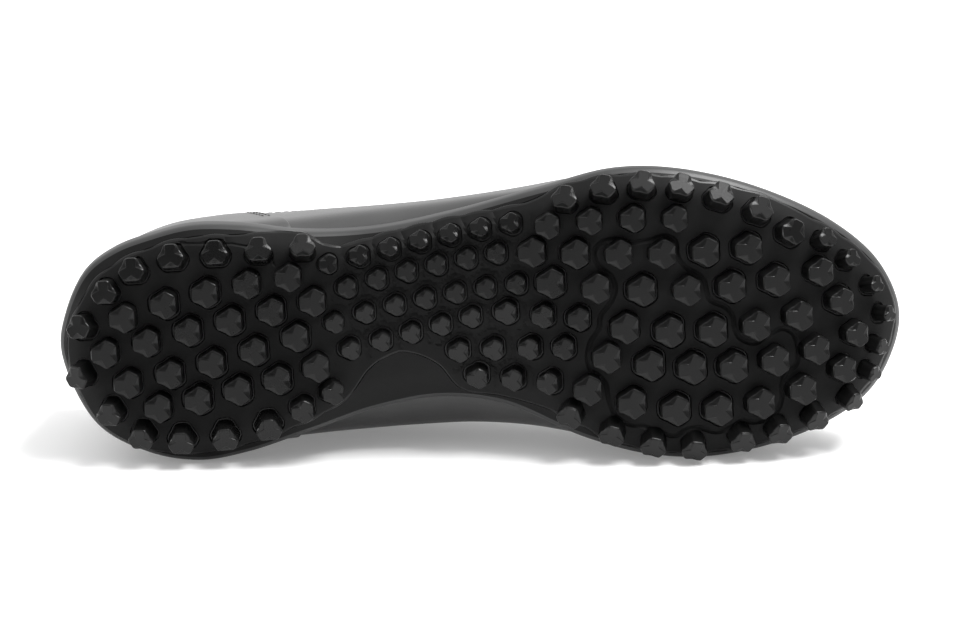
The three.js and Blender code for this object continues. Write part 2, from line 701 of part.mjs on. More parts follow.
// Padded sheet under the throat, from under the vamp to above the collar
function makeTongue() {
  const rows = 13;
  const across = 8;
  const rings = [];
  for (let row = 0; row <= rows; row += 1) {
    const t = row / rows;
    const x = mix(tongueEnd, tongueTop, t);
    const middle = sectionAt(x, 0).crest;
    const half = tongueHalfWidth * mix(0.74, 1, ease(0, 0.6, t)) * (1 - 0.12 * ease(0.9, 1, t));
    const lift = tongueRise * Math.max(0, (throatTop - x) / (throatTop - tongueTop)) ** 1.5;
    const top = [];
    const bottom = [];
    for (let i = 0; i <= across; i += 1) {
      const share = (2 * i) / across - 1;
      const y = middle + share * half;
      const padding = tongueThickness * (1 - 0.45 * share ** 4);
      const under = -wall - tongueClearance;
      top.push(new THREE.Vector3(x, y, skinHeight(x, y, under) + lift));
      bottom.unshift(new THREE.Vector3(x, y, skinHeight(x, y, under - padding) + lift));
    }
    rings.push([...top, ...bottom]);
  }
  return ringBody(rings);
}

// One flat bar of lace over the skin, from one eyelet to another
function laceBar(start, end) {
  const steps = 4;
  const along = new THREE.Vector2().subVectors(end, start).normalize();
  const side = new THREE.Vector2(-along.y, along.x).multiplyScalar(laceWidth / 2);
  const low = eyestayStep + laceClearance;
  const rings = [];
  for (let step = 0; step <= steps; step += 1) {
    const place = new THREE.Vector2().lerpVectors(start, end, step / steps);
    const corner = (sense, offset) => {
      const x = place.x + sense * side.x;
      const y = place.y + sense * side.y;
      return new THREE.Vector3(x, y, skinHeight(x, y, offset));
    };
    const high = low + laceThickness;
    rings.push([corner(-1, low), corner(1, low), corner(1, high), corner(-1, high)]);
  }
  return ringBody(rings);
}

function makeLaces() {
  const pairs = eyeletPlaces().map(({ x, outer, inner }) => ({
    outer: new THREE.Vector2(x, outer),
    inner: new THREE.Vector2(x, inner),
  }));
  const first = laceBar(pairs[0].outer, pairs[0].inner);
  return pairs.slice(1).reduce((lace, pair, index) => {
    const below = pairs[index];
    return lace.add(laceBar(below.outer, pair.inner)).add(laceBar(below.inner, pair.outer));
  }, first);
}

const blackRubber = { color: 0x1b1c1e, roughness: 0.55, metalness: 0 };
const blackFoam = { color: 0x232426, roughness: 0.48, metalness: 0 };
const blackSynthetic = { color: 0x1f2022, roughness: 0.5, metalness: 0 };
const blackTextile = { color: 0x1a1a1c, roughness: 0.9, metalness: 0 };

const outsole = makeOutsole();
const pieces = [
  { name: "outsole", solid: outsole, finish: blackRubber, density: 1.15 },
  { name: "midsole", solid: makeMidsole(outsole), finish: blackFoam, density: 0.6 },
  { name: "upper", solid: makeUpper(), finish: blackSynthetic, density: 0.7 },
  { name: "tongue", solid: makeTongue(), finish: blackTextile, density: 0.4 },
  { name: "insole", solid: makeInsole(), finish: blackTextile, density: 0.25 },
  { name: "laces", solid: makeLaces(), finish: blackTextile, density: 0.6 },
];

const shoe = new THREE.Group();
for (const { name, solid, finish } of pieces) {
  const piece = new THREE.Mesh(geometryOf(solid), new THREE.MeshStandardMaterial(finish));
  piece.name = name;
  shoe.add(piece);
}

// Corners of every piece, in the shoe's own frame
function allCorners() {
  return shoe.children.flatMap((piece) => {
    const positions = piece.geometry.attributes.position;
    return Array.from({ length: positions.count }, (_, index) =>
      new THREE.Vector3().fromBufferAttribute(positions, index),
    );
  });
}

// Centre of mass of all pieces
function massCentre() {
  const sum = new THREE.Vector3();
  let mass = 0;
  shoe.children.forEach((piece, index) => {
    const corners = piece.geometry.attributes.position;
    const order = piece.geometry.index.array;
    for (let i = 0; i < order.length; i += 3) {
      const [a, b, c] = [0, 1, 2].map((k) =>
        new THREE.Vector3().fromBufferAttribute(corners, order[i + k]),
      );
      const volume = a.dot(new THREE.Vector3().crossVectors(b, c)) / 6;
      const part = volume * pieces[index].density;
      sum.addScaledVector(a.add(b).add(c), part / 4);
      mass += part;
    }
  });
  return sum.divideScalar(mass);
}

// Plane on the inner side that the shoe comes to rest on: the face of its hull
// that the centre of mass stands over, with that centre at its lowest
function restingNormal() {
  const centre = massCentre();
  const hull = new ConvexHull().setFromPoints(allCorners());
  const resting = hull.faces.filter((face) => {
    if (face.normal.y < 0.8) return false;
    const drop = face.distanceToPoint(centre);
    const foot = centre.clone().addScaledVector(face.normal, -drop);
    const corners = [0, 1, 2].map((index) => face.getEdge(index).head().point);
    return new THREE.Triangle(...corners).containsPoint(foot);
  });
  resting.sort((a, b) => Math.abs(a.distanceToPoint(centre)) - Math.abs(b.distanceToPoint(centre)));
  return resting[0].normal.clone();
}

const up = restingNormal().negate();
const toe = new THREE.Vector3(1, 0, 0).addScaledVector(up, -up.x).normalize();
const back = new THREE.Vector3().crossVectors(up, toe);
const laid = new THREE.Matrix4().makeBasis(toe, back, up).transpose();
shoe.quaternion.setFromRotationMatrix(laid);

const reach = new THREE.Box3().setFromPoints(allCorners().map((point) => point.applyMatrix4(laid)));
const middle = reach.getCenter(new THREE.Vector3());
shoe.position.set(-middle.x, -middle.y, -reach.min.z);

export default shoe;
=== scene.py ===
"""A turf shoe for the right foot, lying on its inner side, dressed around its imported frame.

Shapes are drawn in the shoe's own frame in millimetres: x from the back of the heel to the
toe, y towards the inner side of the foot, z up from the plane that the studs tread on.
"""
import json
import math

import bmesh
import bpy
import numpy as np
from mathutils import Matrix, Vector
from mathutils.geometry import delaunay_2d_cdt
from mathutils.kdtree import KDTree


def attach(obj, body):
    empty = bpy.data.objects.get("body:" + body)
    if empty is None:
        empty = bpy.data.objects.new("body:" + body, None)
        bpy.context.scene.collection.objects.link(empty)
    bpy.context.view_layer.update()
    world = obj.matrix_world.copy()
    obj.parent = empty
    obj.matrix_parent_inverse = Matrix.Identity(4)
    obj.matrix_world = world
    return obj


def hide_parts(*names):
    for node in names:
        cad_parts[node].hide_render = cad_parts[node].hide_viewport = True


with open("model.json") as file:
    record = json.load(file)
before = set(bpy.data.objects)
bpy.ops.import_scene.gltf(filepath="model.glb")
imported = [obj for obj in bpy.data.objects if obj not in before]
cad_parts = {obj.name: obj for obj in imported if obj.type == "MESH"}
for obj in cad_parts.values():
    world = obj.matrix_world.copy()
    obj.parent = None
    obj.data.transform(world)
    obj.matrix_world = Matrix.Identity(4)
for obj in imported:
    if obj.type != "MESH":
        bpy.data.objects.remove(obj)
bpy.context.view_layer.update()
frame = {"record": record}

# Sizes of the sole, in mm
SOLE_LENGTH = 294.0
BALL_WIDTH = 102.0
SPRING_START, SPRING_HEIGHT = 0.7075 * SOLE_LENGTH, 15.0
WAIST_BACK, WAIST_FRONT = 0.2857 * SOLE_LENGTH, 0.6054 * SOLE_LENGTH
WAIST_BLEND = 0.0884 * SOLE_LENGTH
WAIST_RISE, ARCH_HOLLOW = 1.8, 4.0
HOLLOW_SPAN = (-0.14 * BALL_WIDTH, 0.28 * BALL_WIDTH)
PLATE_THICKNESS, PLATE_STEP = 2.4, 0.7
EDGE_CURL, CURL_WIDTH = 5.0, 11.0
HEEL_BED, FORE_BED = 19.0, 14.0
BED_FALL = (0.4 * SOLE_LENGTH, 0.72 * SOLE_LENGTH)
SPINE_INSET = 0.13 * SOLE_LENGTH
LIP_RISE, LIP_GRIP = 4.5, 1.2
GAP = 0.3

# Studs: heights and chamfer in mm, reaches as shares of a stud's width, dips as shares of a reach
STUD_HEIGHT, WAIST_STUD_HEIGHT, CHAMFER_DEPTH = 6.0, 4.2, 0.5
LOBE_REACH, SHOULDER_REACH, FOOT_REACH, NOTCH_REACH = 0.53, 0.558, 0.585, 0.22
FLANK_DIP, FOOT_DIP = 0.765, 0.775
LOBE_SWING = 25
FOOT_MARGIN = 1.6
TAPER_START, TOE_TAPER = 0.86, 0.24

# Low forms of the ground round the studs, in mm
MOAT_DEPTH, MOAT_WIDTH, MOAT_WAIST_FADE = 0.9, 1.35, 0.35
GROOVE_DEPTH, GROOVE_WIDTH = 0.7, 0.95
SEAM_DEPTH, SEAM_WIDTH = 0.5, 0.6
WAIST_SEAM_DEPTH, WAIST_SEAM_REACH = 0.35, 7.5
SCALLOP, SCALLOP_SPAN = 0.9, (8.5, 4.5)

# Sizes of the upper, in mm
INSTEP_HEIGHT = 92.0
WALL = 2.0
LASTING_MARGIN = 9.0
HEEL_LEAN, LEAN_REACH, LEAN_FOOT = 5.0, 0.25 * SOLE_LENGTH, 0.35 * INSTEP_HEIGHT
FEATHER_SHARPNESS = 0.28
COLLAR_BACK, COLLAR_DIP, COLLAR_DIP_AT, COLLAR_STEEP = 77.0, 61.0, 62.0, 6
COLLAR_PADDING, COLLAR_PADDING_DEPTH, COLLAR_LINING = 4.5, 27.0, 1.0
COLLAR_PADDING_FADE, COLLAR_PADDING_END = 26, 3
THROAT_TOP, THROAT_END, THROAT_TOP_HEIGHT = 108.0, 190.0, 91.0
THROAT_TOP_HALF, THROAT_END_HALF, THROAT_OVERRUN = 16.0, 10.5, 30.0
THROAT_FLOOR = 0.45 * INSTEP_HEIGHT
EYESTAY_WIDTH, EYESTAY_STEP = 14.0, 0.8
EYELET_PAIRS, EYELET_DIAMETER, EYELET_INSET = 6, 4.6, 6.5
FIRST_EYELET, LAST_EYELET = 2, 9
COUNTER_REACH, COUNTER_STEP, COUNTER_SLOPE = 84.0, 0.7, 0.42
LAYER_BITE, LAYER_ROUNDING, EDGE_ROUNDING = 0.3, 0.3, 0.8
DEGREE_SPAN, CREASE_BOW = 0.75, 2.5

# Tongue and footbed, in mm
TONGUE_END, TONGUE_TOP, TONGUE_HALF_WIDTH = 201.0, 92.0, 20.5
TONGUE_RISE, TONGUE_THICKNESS, TONGUE_CLEARANCE = 9.0, 3.6, 1.6
BINDING, BINDING_INSET, BINDING_WIDTH = 0.5, 2.6, 0.8
TONGUE_RIB, TONGUE_RIB_PITCH = 0.25, 9.0
INSOLE_THICKNESS, INSOLE_DISH, INSOLE_DISH_WIDTH = 3.6, 0.5, 16

# Lace, in mm; it widens, lies flat and climbs clear over these distances from an eyelet
LACE_WIDTH, LACE_THICKNESS, LACE_CLEARANCE = 6.0, 1.3, 0.35
LACE_FLARE, LACE_SETTLE, LACE_CLIMB = (0.4, 5.5), (0.2, 4.0), (0, 4.2)
LACE_SINK, LACE_DIVE = -1.4, 1.1
CROSSING_GAP, CROSSING_SHARE = 0.35, 0.3

# Stitches, in mm; rows are placed by their distance from the edge that they follow
STITCH_PITCH, STITCH_LENGTH, STITCH_THICKNESS = 3.3, 2.3, 0.42
EYESTAY_STITCHES = (EYESTAY_WIDTH - 1.8, EYESTAY_WIDTH - 4.0, 1.9)
COLLAR_STITCHES, COUNTER_STITCHES = (3.2, 5.4), (2.0, 4.2)
COUNTER_STITCH_FOOT = HEEL_BED + 19

# Fineness of the meshes: points of an outline, spacing in mm, rows and columns of a net
RIM_POINTS, PLATE_POINTS, SEAT_POINTS, INSOLE_POINTS = 360, 420, 300, 240
GROUND_SPACING, WAIST_SPACING, BARE_SPACING, HIDDEN_SPACING = 2.4, 1.1, 2.2, 8
UPPER_NET, EYESTAY_NET, LAYER_NET = (230, 168), (250, 200), (200, 160)

# Places of two stud tops in the shoe's frame, which the record's mounts name in the row's
HEEL_STUD = np.array([53.07, 6.53, 0.0])
FOREFOOT_STUD = np.array([204.28, 15.55, 0.0])

# Rim of the sole: shares of the length and of the ball width
RIM = [
    (0.0, 0.01), (0.009, -0.127), (0.036, -0.265), (0.071, -0.333), (0.114, -0.373),
    (0.162, -0.4), (0.219, -0.392), (0.291, -0.358), (0.376, -0.353), (0.471, -0.392),
    (0.58, -0.461), (0.662, -0.51), (0.733, -0.5), (0.828, -0.422), (0.923, -0.275),
    (0.978, -0.118), (1.0, 0.059), (0.985, 0.216), (0.951, 0.338), (0.876, 0.441),
    (0.77, 0.495), (0.689, 0.475), (0.621, 0.412), (0.519, 0.279), (0.444, 0.245),
    (0.366, 0.275), (0.287, 0.333), (0.213, 0.392), (0.155, 0.412), (0.094, 0.373),
    (0.036, 0.265),
]

# Edge of the studded plate, which leaves the inner waist bare
PLATE = [
    (0.009, 0.01), (0.022, -0.127), (0.056, -0.255), (0.104, -0.324), (0.162, -0.363),
    (0.219, -0.363), (0.287, -0.358), (0.332, -0.304), (0.389, -0.333), (0.468, -0.377),
    (0.553, -0.412), (0.621, -0.48), (0.699, -0.49), (0.774, -0.451), (0.842, -0.392),
    (0.9, -0.294), (0.954, -0.176), (0.988, -0.039), (0.993, 0.078), (0.974, 0.216),
    (0.934, 0.343), (0.866, 0.43), (0.77, 0.475), (0.689, 0.456), (0.634, 0.397),
    (0.587, 0.312), (0.519, 0.25), (0.471, 0.216), (0.444, 0.118), (0.4, 0.069),
    (0.366, 0.118), (0.336, 0.216), (0.264, 0.314), (0.206, 0.363), (0.145, 0.382),
    (0.09, 0.353), (0.039, 0.255),
]

# Widest line of the lasted upper, seen from above
LAST = [
    (0.012, 0.01), (0.022, -0.137), (0.056, -0.27), (0.111, -0.345), (0.179, -0.374),
    (0.264, -0.382), (0.335, -0.392), (0.447, -0.412), (0.543, -0.441), (0.621, -0.471),
    (0.689, -0.485), (0.757, -0.461), (0.828, -0.397), (0.906, -0.275), (0.961, -0.118),
    (0.981, 0.059), (0.968, 0.196), (0.927, 0.314), (0.866, 0.407), (0.774, 0.465),
    (0.689, 0.45), (0.621, 0.424), (0.553, 0.388), (0.485, 0.37), (0.417, 0.372),
    (0.325, 0.381), (0.247, 0.384), (0.172, 0.366), (0.104, 0.335), (0.049, 0.245),
]

# Sections of the last: place, top, crest, widest and square
SECTIONS = [
    (0.0, 1.09, 0.0, 0.3, 2.7), (0.15, 1.13, 0.0, 0.27, 2.6), (0.3, 1.12, 0.01, 0.25, 2.4),
    (0.37, 1.04, 0.02, 0.24, 2.2), (0.44, 0.935, 0.03, 0.24, 2.1), (0.51, 0.85, 0.04, 0.25, 2.05),
    (0.58, 0.766, 0.05, 0.28, 2.05), (0.65, 0.695, 0.06, 0.31, 2.15),
    (0.72, 0.635, 0.07, 0.34, 2.25), (0.79, 0.59, 0.08, 0.37, 2.3), (0.86, 0.557, 0.08, 0.4, 2.3),
    (0.92, 0.53, 0.07, 0.43, 2.3), (0.96, 0.49, 0.06, 0.45, 2.3), (0.982, 0.425, 0.05, 0.46, 2.2),
]

# Lines of studs: first place, last place, how many, bow, width of a stud, turn of its lobes
STUD_RUNS = [
    ((0.026, -0.088), (0.094, -0.275), 3, -0.02, 8.6, 30),
    ((0.141, -0.314), (0.296, -0.326), 4, 0, 8.8, 30),
    ((0.019, 0.088), (0.09, 0.314), 3, 0.02, 8.6, 30),
    ((0.138, 0.333), (0.243, 0.304), 3, 0.01, 8.8, 30),
    ((0.284, 0.245), (0.322, 0.19), 2, 0, 8.2, 0),
    ((0.08, -0.108), (0.277, -0.216), 5, -0.015, 9.4, 0),
    ((0.325, -0.255), (0.539, -0.363), 7, -0.012, 6.8, 0),
    ((0.583, -0.343), (0.733, -0.343), 4, -0.008, 8.8, 0),
    ((0.056, 0.01), (0.304, -0.127), 6, -0.005, 9.4, 0),
    ((0.345, -0.167), (0.522, -0.255), 6, -0.008, 6.8, 0),
    ((0.563, -0.255), (0.818, -0.225), 6, 0.01, 9.8, 0),
    ((0.08, 0.118), (0.281, -0.01), 5, 0.01, 9.4, 0),
    ((0.328, -0.049), (0.543, -0.147), 7, -0.015, 6.8, 0),
    ((0.583, -0.147), (0.903, -0.127), 7, 0.04, 10, 0),
    ((0.114, 0.206), (0.304, 0.098), 5, 0.01, 9.6, 0),
    ((0.345, 0.049), (0.488, -0.039), 5, 0, 7, 0),
    ((0.529, -0.049), (0.614, -0.02), 3, 0, 8, 0),
    ((0.668, 0.02), (0.927, -0.02), 6, 0.045, 10.2, 0),
    ((0.471, 0.078), (0.594, 0.078), 4, 0, 7.6, 0),
    ((0.645, 0.118), (0.944, 0.098), 7, 0.068, 10.2, 0),
    ((0.491, 0.176), (0.573, 0.196), 3, 0, 7.8, 0),
    ((0.621, 0.225), (0.927, 0.216), 7, 0.1, 10.2, 0),
    ((0.596, 0.318), (0.743, 0.461), 4, 0.03, 8.8, 15),
    ((0.801, 0.441), (0.938, 0.338), 4, 0.02, 8.8, 15),
    ((0.964, 0.245), (0.985, 0.039), 3, 0.01, 7.6, 30),
    ((0.971, -0.069), (0.913, -0.245), 3, -0.01, 7.6, 30),
    ((0.872, -0.275), (0.872, -0.275), 1, 0, 8.8, 0),
    ((0.835, -0.363), (0.604, -0.441), 6, -0.07, 8.8, 15),
]

# Wavy groove round the ball of the foot, closed
BALL_GROOVE = [
    (0.636, -0.24), (0.644, -0.27), (0.659, -0.281), (0.68, -0.268), (0.702, -0.271),
    (0.721, -0.282), (0.732, -0.263), (0.734, -0.21), (0.744, -0.168), (0.756, -0.147),
    (0.764, -0.12), (0.766, -0.086), (0.77, -0.054), (0.789, -0.024), (0.796, 0.01),
    (0.797, 0.045), (0.803, 0.083), (0.82, 0.105), (0.836, 0.084), (0.853, 0.062),
    (0.866, 0.08), (0.872, 0.13), (0.869, 0.191), (0.857, 0.217), (0.851, 0.255),
    (0.85, 0.305), (0.84, 0.36), (0.817, 0.378), (0.8, 0.372), (0.788, 0.39),
    (0.77, 0.402), (0.748, 0.382), (0.734, 0.389), (0.721, 0.407), (0.704, 0.393),
    (0.686, 0.369), (0.667, 0.357), (0.653, 0.33), (0.645, 0.27), (0.642, 0.216),
    (0.636, 0.188), (0.625, 0.16), (0.622, 0.12), (0.627, 0.065), (0.637, 0.024),
    (0.64, -0.02), (0.655, -0.076), (0.659, -0.115), (0.655, -0.155), (0.64, -0.195),
]

# Seams that end the heel piece, outer and inner
HEEL_SEAMS = [
    [(0.152, -0.346), (0.211, -0.337), (0.237, -0.319), (0.252, -0.306), (0.257, -0.288),
     (0.26, -0.26)],
    [(0.182, 0.306), (0.195, 0.344), (0.202, 0.397)],
]

# Soft troughs across the vamp: start, end (along the sole, degrees round it), depth, width
VAMP_CREASES = [
    ((0.705, 52), (0.735, 128), 0.55, 3.2), ((0.735, 40), (0.758, 118), 0.45, 2.8),
    ((0.69, 20), (0.72, 60), 0.4, 3.0), ((0.715, 122), (0.70, 160), 0.45, 3.0),
    ((0.765, 66), (0.778, 110), 0.3, 2.6), ((0.60, 14), (0.65, 30), 0.35, 3.4),
]

# Side wall of the midsole: mm outside the rim, share of the wall's height
WALL_PROFILE = [
    (-1.4, 0), (-0.85, 0.0), (-0.42, 0.015), (-0.12, 0.045), (0.05, 0.09), (0.2, 0.18),
    (0.35, 0.32), (0.48, 0.45), (0.45, 0.58), (0.3, 0.7), (0.1, 0.82), (-0.05, 0.9),
    (-0.25, 0.955), (-0.6, 0.99), (-1.05, 1.0),
]

# Moat round a stud: share of its width, share of its depth
MOAT_PROFILE = [(0.12, 0.75), (0.3, 1), (0.62, 1), (0.86, 0.3), (1, 0)]

# Form of a stitch: share of its length, share of its radius, mm that it sits lower
STITCH_FORM = [(0, 0.35, 0.16), (0.2, 0.95, 0), (0.5, 1.05, -0.04), (0.8, 0.95, 0), (1, 0.35, 0.16)]


def ease(low, high, value):
    """Smooth step from 0 to 1 between two values."""
    t = np.clip((value - low) / (high - low), 0, 1)
    return t * t * (3 - 2 * t)


def mix(a, b, t):
    """Value a share t of the way from a to b."""
    return a + (b - a) * t


def unit(vector):
    vector = np.asarray(vector, float)
    return vector / np.linalg.norm(vector, axis=-1, keepdims=True)


def blunt(value, power):
    """A sine or cosine drawn towards the form of a rounded box."""
    return np.sign(value) * np.abs(value) ** power


def full_turn(count):
    """Angles evenly round a circle."""
    return np.linspace(0, 2 * np.pi, count, endpoint=False)


def shoe_frame():
    """Turn and origin of the shoe's frame in the row's, from the record's two stud tops."""
    mounts = {mount["name"]: mount for mount in frame["record"]["mounts"]}
    heel = np.array(mounts["heel_stud_top"]["pos_m"]) * 1000
    forefoot = np.array(mounts["forefoot_stud_top"]["pos_m"]) * 1000
    up = unit(-np.array(mounts["heel_stud_top"]["axis"]))
    along = unit(forefoot - heel)
    along = unit(along - up * (along @ up))
    drawn = unit(FOREFOOT_STUD - HEEL_STUD)
    rise = np.array([0.0, 0.0, 1.0])
    row = np.stack([along, np.cross(up, along), up], axis=1)
    own = np.stack([drawn, np.cross(rise, drawn), rise], axis=1)
    turn = row @ own.T
    return turn, heel - turn @ HEEL_STUD


TURN, ORIGIN = shoe_frame()


def laid(points):
    """Points of the shoe's frame, in mm, as points of the row's frame, in metres."""
    return (np.asarray(points, float) @ TURN.T + ORIGIN) / 1000


# Outlines and the forms that follow them

def closed_curve(rows, samples):
    """Evenly spaced points of a closed curve through rows of points."""
    rows = np.asarray(rows, float)
    before, after, later = (np.roll(rows, shift, axis=0) for shift in (1, -1, -2))
    spans = [
        np.linalg.norm(b - a, axis=1, keepdims=True) ** 0.5
        for a, b in ((before, rows), (rows, after), (after, later))
    ]
    first = (rows - before) / spans[0] - (after - before) / (spans[0] + spans[1])
    first = (first + (after - rows) / spans[1]) * spans[1]
    last = (after - rows) / spans[1] - (later - rows) / (spans[1] + spans[2])
    last = (last + (later - after) / spans[2]) * spans[1]
    t = np.linspace(0, 1, 24, endpoint=False)[None, :, None]
    start, end, leave, arrive = (v[:, None, :] for v in (rows, after, first, last))
    curve = (
        start + leave * t + (3 * (end - start) - 2 * leave - arrive) * t**2
        + (2 * (start - end) + leave + arrive) * t**3
    ).reshape(-1, rows.shape[1])
    return even_loop(curve, samples)


def even_loop(curve, samples):
    """A closed line of points, spaced evenly."""
    closed = np.vstack([curve, curve[:1]])
    run = np.concatenate([[0], np.cumsum(np.linalg.norm(np.diff(closed, axis=0), axis=1))])
    wanted = np.linspace(0, run[-1], samples, endpoint=False)
    return np.stack([np.interp(wanted, run, column) for column in closed.T], axis=1)


def outline(table, samples=240):
    """Closed line in mm through a table of shares."""
    return closed_curve([(along * SOLE_LENGTH, out * BALL_WIDTH) for along, out in table], samples)


def is_anticlockwise(loop):
    x, y = loop[:, 0], loop[:, 1]
    return np.sum(x * np.roll(y, -1) - np.roll(x, -1) * y) > 0


def anticlockwise(loop):
    return loop if is_anticlockwise(loop) else loop[::-1]


def outward(loop):
    """Outward directions of a closed plan outline."""
    along = unit(np.roll(loop, -1, axis=0) - np.roll(loop, 1, axis=0))
    out = np.stack([along[:, 1], -along[:, 0]], axis=1)
    return out if is_anticlockwise(loop) else -out


def distance_to(loop, points, closed=True):
    """Distance in plan from points to a line of points."""
    ends = np.roll(loop, -1, axis=0) if closed else loop[1:]
    starts = loop if closed else loop[:-1]
    step = ends - starts
    length = np.maximum(np.sum(step**2, axis=1), 1e-9)
    nearest = np.full(len(points), np.inf)
    for part in np.array_split(np.arange(len(points)), max(1, len(points) // 4000)):
        away = points[part, None, :] - starts[None]
        t = np.clip(np.sum(away * step, axis=2) / length, 0, 1)
        gaps = np.linalg.norm(away - t[..., None] * step, axis=2)
        nearest[part] = gaps.min(axis=1)
    return nearest


class Span:
    """Outer and inner edge of an outline at places along the shoe."""

    def __init__(self, loop):
        low = int(np.argmin(loop[:, 0]))
        ring = np.roll(loop, -low, axis=0)
        high = int(np.argmax(ring[:, 0]))
        self.sides = [ring[: high + 1], np.vstack([ring[high:], ring[:1]])[::-1]]
        self.low, self.high = ring[0, 0], ring[high, 0]

    def at(self, x):
        edges = [np.interp(x, np.maximum.accumulate(s[:, 0]), s[:, 1]) for s in self.sides]
        return np.minimum(*edges), np.maximum(*edges)


RIM_LINE, PLATE_LINE, LAST_LINE = outline(RIM), outline(PLATE), outline(LAST, 480)
RIM_SPAN, PLATE_SPAN, LAST_SPAN = Span(RIM_LINE), Span(PLATE_LINE), Span(LAST_LINE)
GROOVE_LINE = outline(BALL_GROOVE, 300)
SEAM_LINES = [np.array(seam) * (SOLE_LENGTH, BALL_WIDTH) for seam in HEEL_SEAMS]


def toe_spring(x):
    """Rise of the sole towards the toe."""
    share = np.maximum(0, (x - SPRING_START) / (SOLE_LENGTH - SPRING_START))
    return SPRING_HEIGHT * share**2


def waist_share(x):
    """1 along the waist of the sole, 0 under the heel and the ball."""
    front = 1 - ease(WAIST_FRONT - WAIST_BLEND, WAIST_FRONT, x)
    return ease(WAIST_BACK, WAIST_BACK + WAIST_BLEND, x) * front


def ground_height(points):
    """Underside of the sole between the studs."""
    x, y = points[:, 0], points[:, 1]
    curl = EDGE_CURL * np.maximum(0, 1 - distance_to(RIM_LINE, points[:, :2]) / CURL_WIDTH) ** 2
    hollow = ARCH_HOLLOW * ease(*HOLLOW_SPAN, y)
    return STUD_HEIGHT + toe_spring(x) + waist_share(x) * (WAIST_RISE + hollow) + curl


def bed_height(x):
    """Height of the footbed that the last stands on."""
    return mix(HEEL_BED, FORE_BED, ease(*BED_FALL, x)) + toe_spring(x)


def smooth(places, values, along):
    """Value on a smooth curve through values at rising places."""
    ends = np.arange(len(places))
    after, before = np.minimum(ends + 1, len(ends) - 1), np.maximum(ends - 1, 0)
    slopes = (values[after] - values[before]) / (places[after] - places[before])
    at = np.clip(along, places[0], places[-1])
    row = np.clip(np.searchsorted(places, at, side="right") - 1, 0, len(places) - 2)
    length = places[row + 1] - places[row]
    t = (at - places[row]) / length
    return (
        values[row] * (1 + 2 * t) * (1 - t) ** 2
        + values[row + 1] * t * t * (3 - 2 * t)
        + length * t * (1 - t) * ((1 - t) * slopes[row] - t * slopes[row + 1])
    )


def section_value(column, along):
    """One column of the last's sections at places along it."""
    table = np.array(SECTIONS)
    return smooth(table[:, 0], table[:, column], along)


def feather_power(edge, lip, crest, widest, floor, x):
    """Power of the corner that brings the last's underside in to the lip of the sole."""
    width = np.minimum(0.999, (np.abs(lip - crest) - LIP_GRIP) / np.abs(edge - crest))
    drop = (widest - bed_height(x) - LIP_RISE) / (widest - floor)
    low, high = np.full_like(x, FEATHER_SHARPNESS), np.full_like(x, 1.6)
    for _ in range(24):
        power = (low + high) / 2
        outside = width ** (2 / power) + drop ** (2 / power) > 1
        high, low = np.where(outside, power, high), np.where(outside, low, power)
    return np.where(1 - width < 0.01, FEATHER_SHARPNESS, low)


def sections_at(x):
    """Sizes of the last's sections at places along it."""
    x = np.clip(x, LAST_SPAN.low + 0.02, LAST_SPAN.high - 0.02)
    along = x / SOLE_LENGTH
    outer, inner = LAST_SPAN.at(x)
    lips = RIM_SPAN.at(np.clip(x, 1, SOLE_LENGTH - 1))
    floor, top = bed_height(x), section_value(1, along) * INSTEP_HEIGHT
    widest = mix(floor, top, section_value(3, along))
    crest = section_value(2, along) * BALL_WIDTH + (outer + inner) * 0.1
    crest = np.clip(crest, outer + 0.4 * (inner - outer), inner - 0.4 * (inner - outer))
    return {
        "outer": outer, "inner": inner, "floor": floor, "top": top, "crest": crest,
        "widest": widest, "square": section_value(4, along),
        "powers": [
            feather_power(edge, lip, crest, widest, floor, x)
            for edge, lip in zip((outer, inner), lips)
        ],
    }


def last_slice(x, share, offset):
    """Outer and inner edge of the last at a share of the way from its bed to the sole's lip."""
    s = sections_at(x)
    height = bed_height(x) + share * LIP_RISE
    drop = np.clip((s["widest"] - height) / (s["widest"] - s["floor"] + offset), 0, 1)
    edges = []
    for side, power, sense in (("outer", 0, -1), ("inner", 1, 1)):
        p = s["powers"][power]
        reach = (1 - drop ** (2 / p)) ** (p / 2)
        edges.append(s["crest"] + (s[side] + sense * offset - s["crest"]) * reach)
    return edges


# Pieces are built up from corners and faces

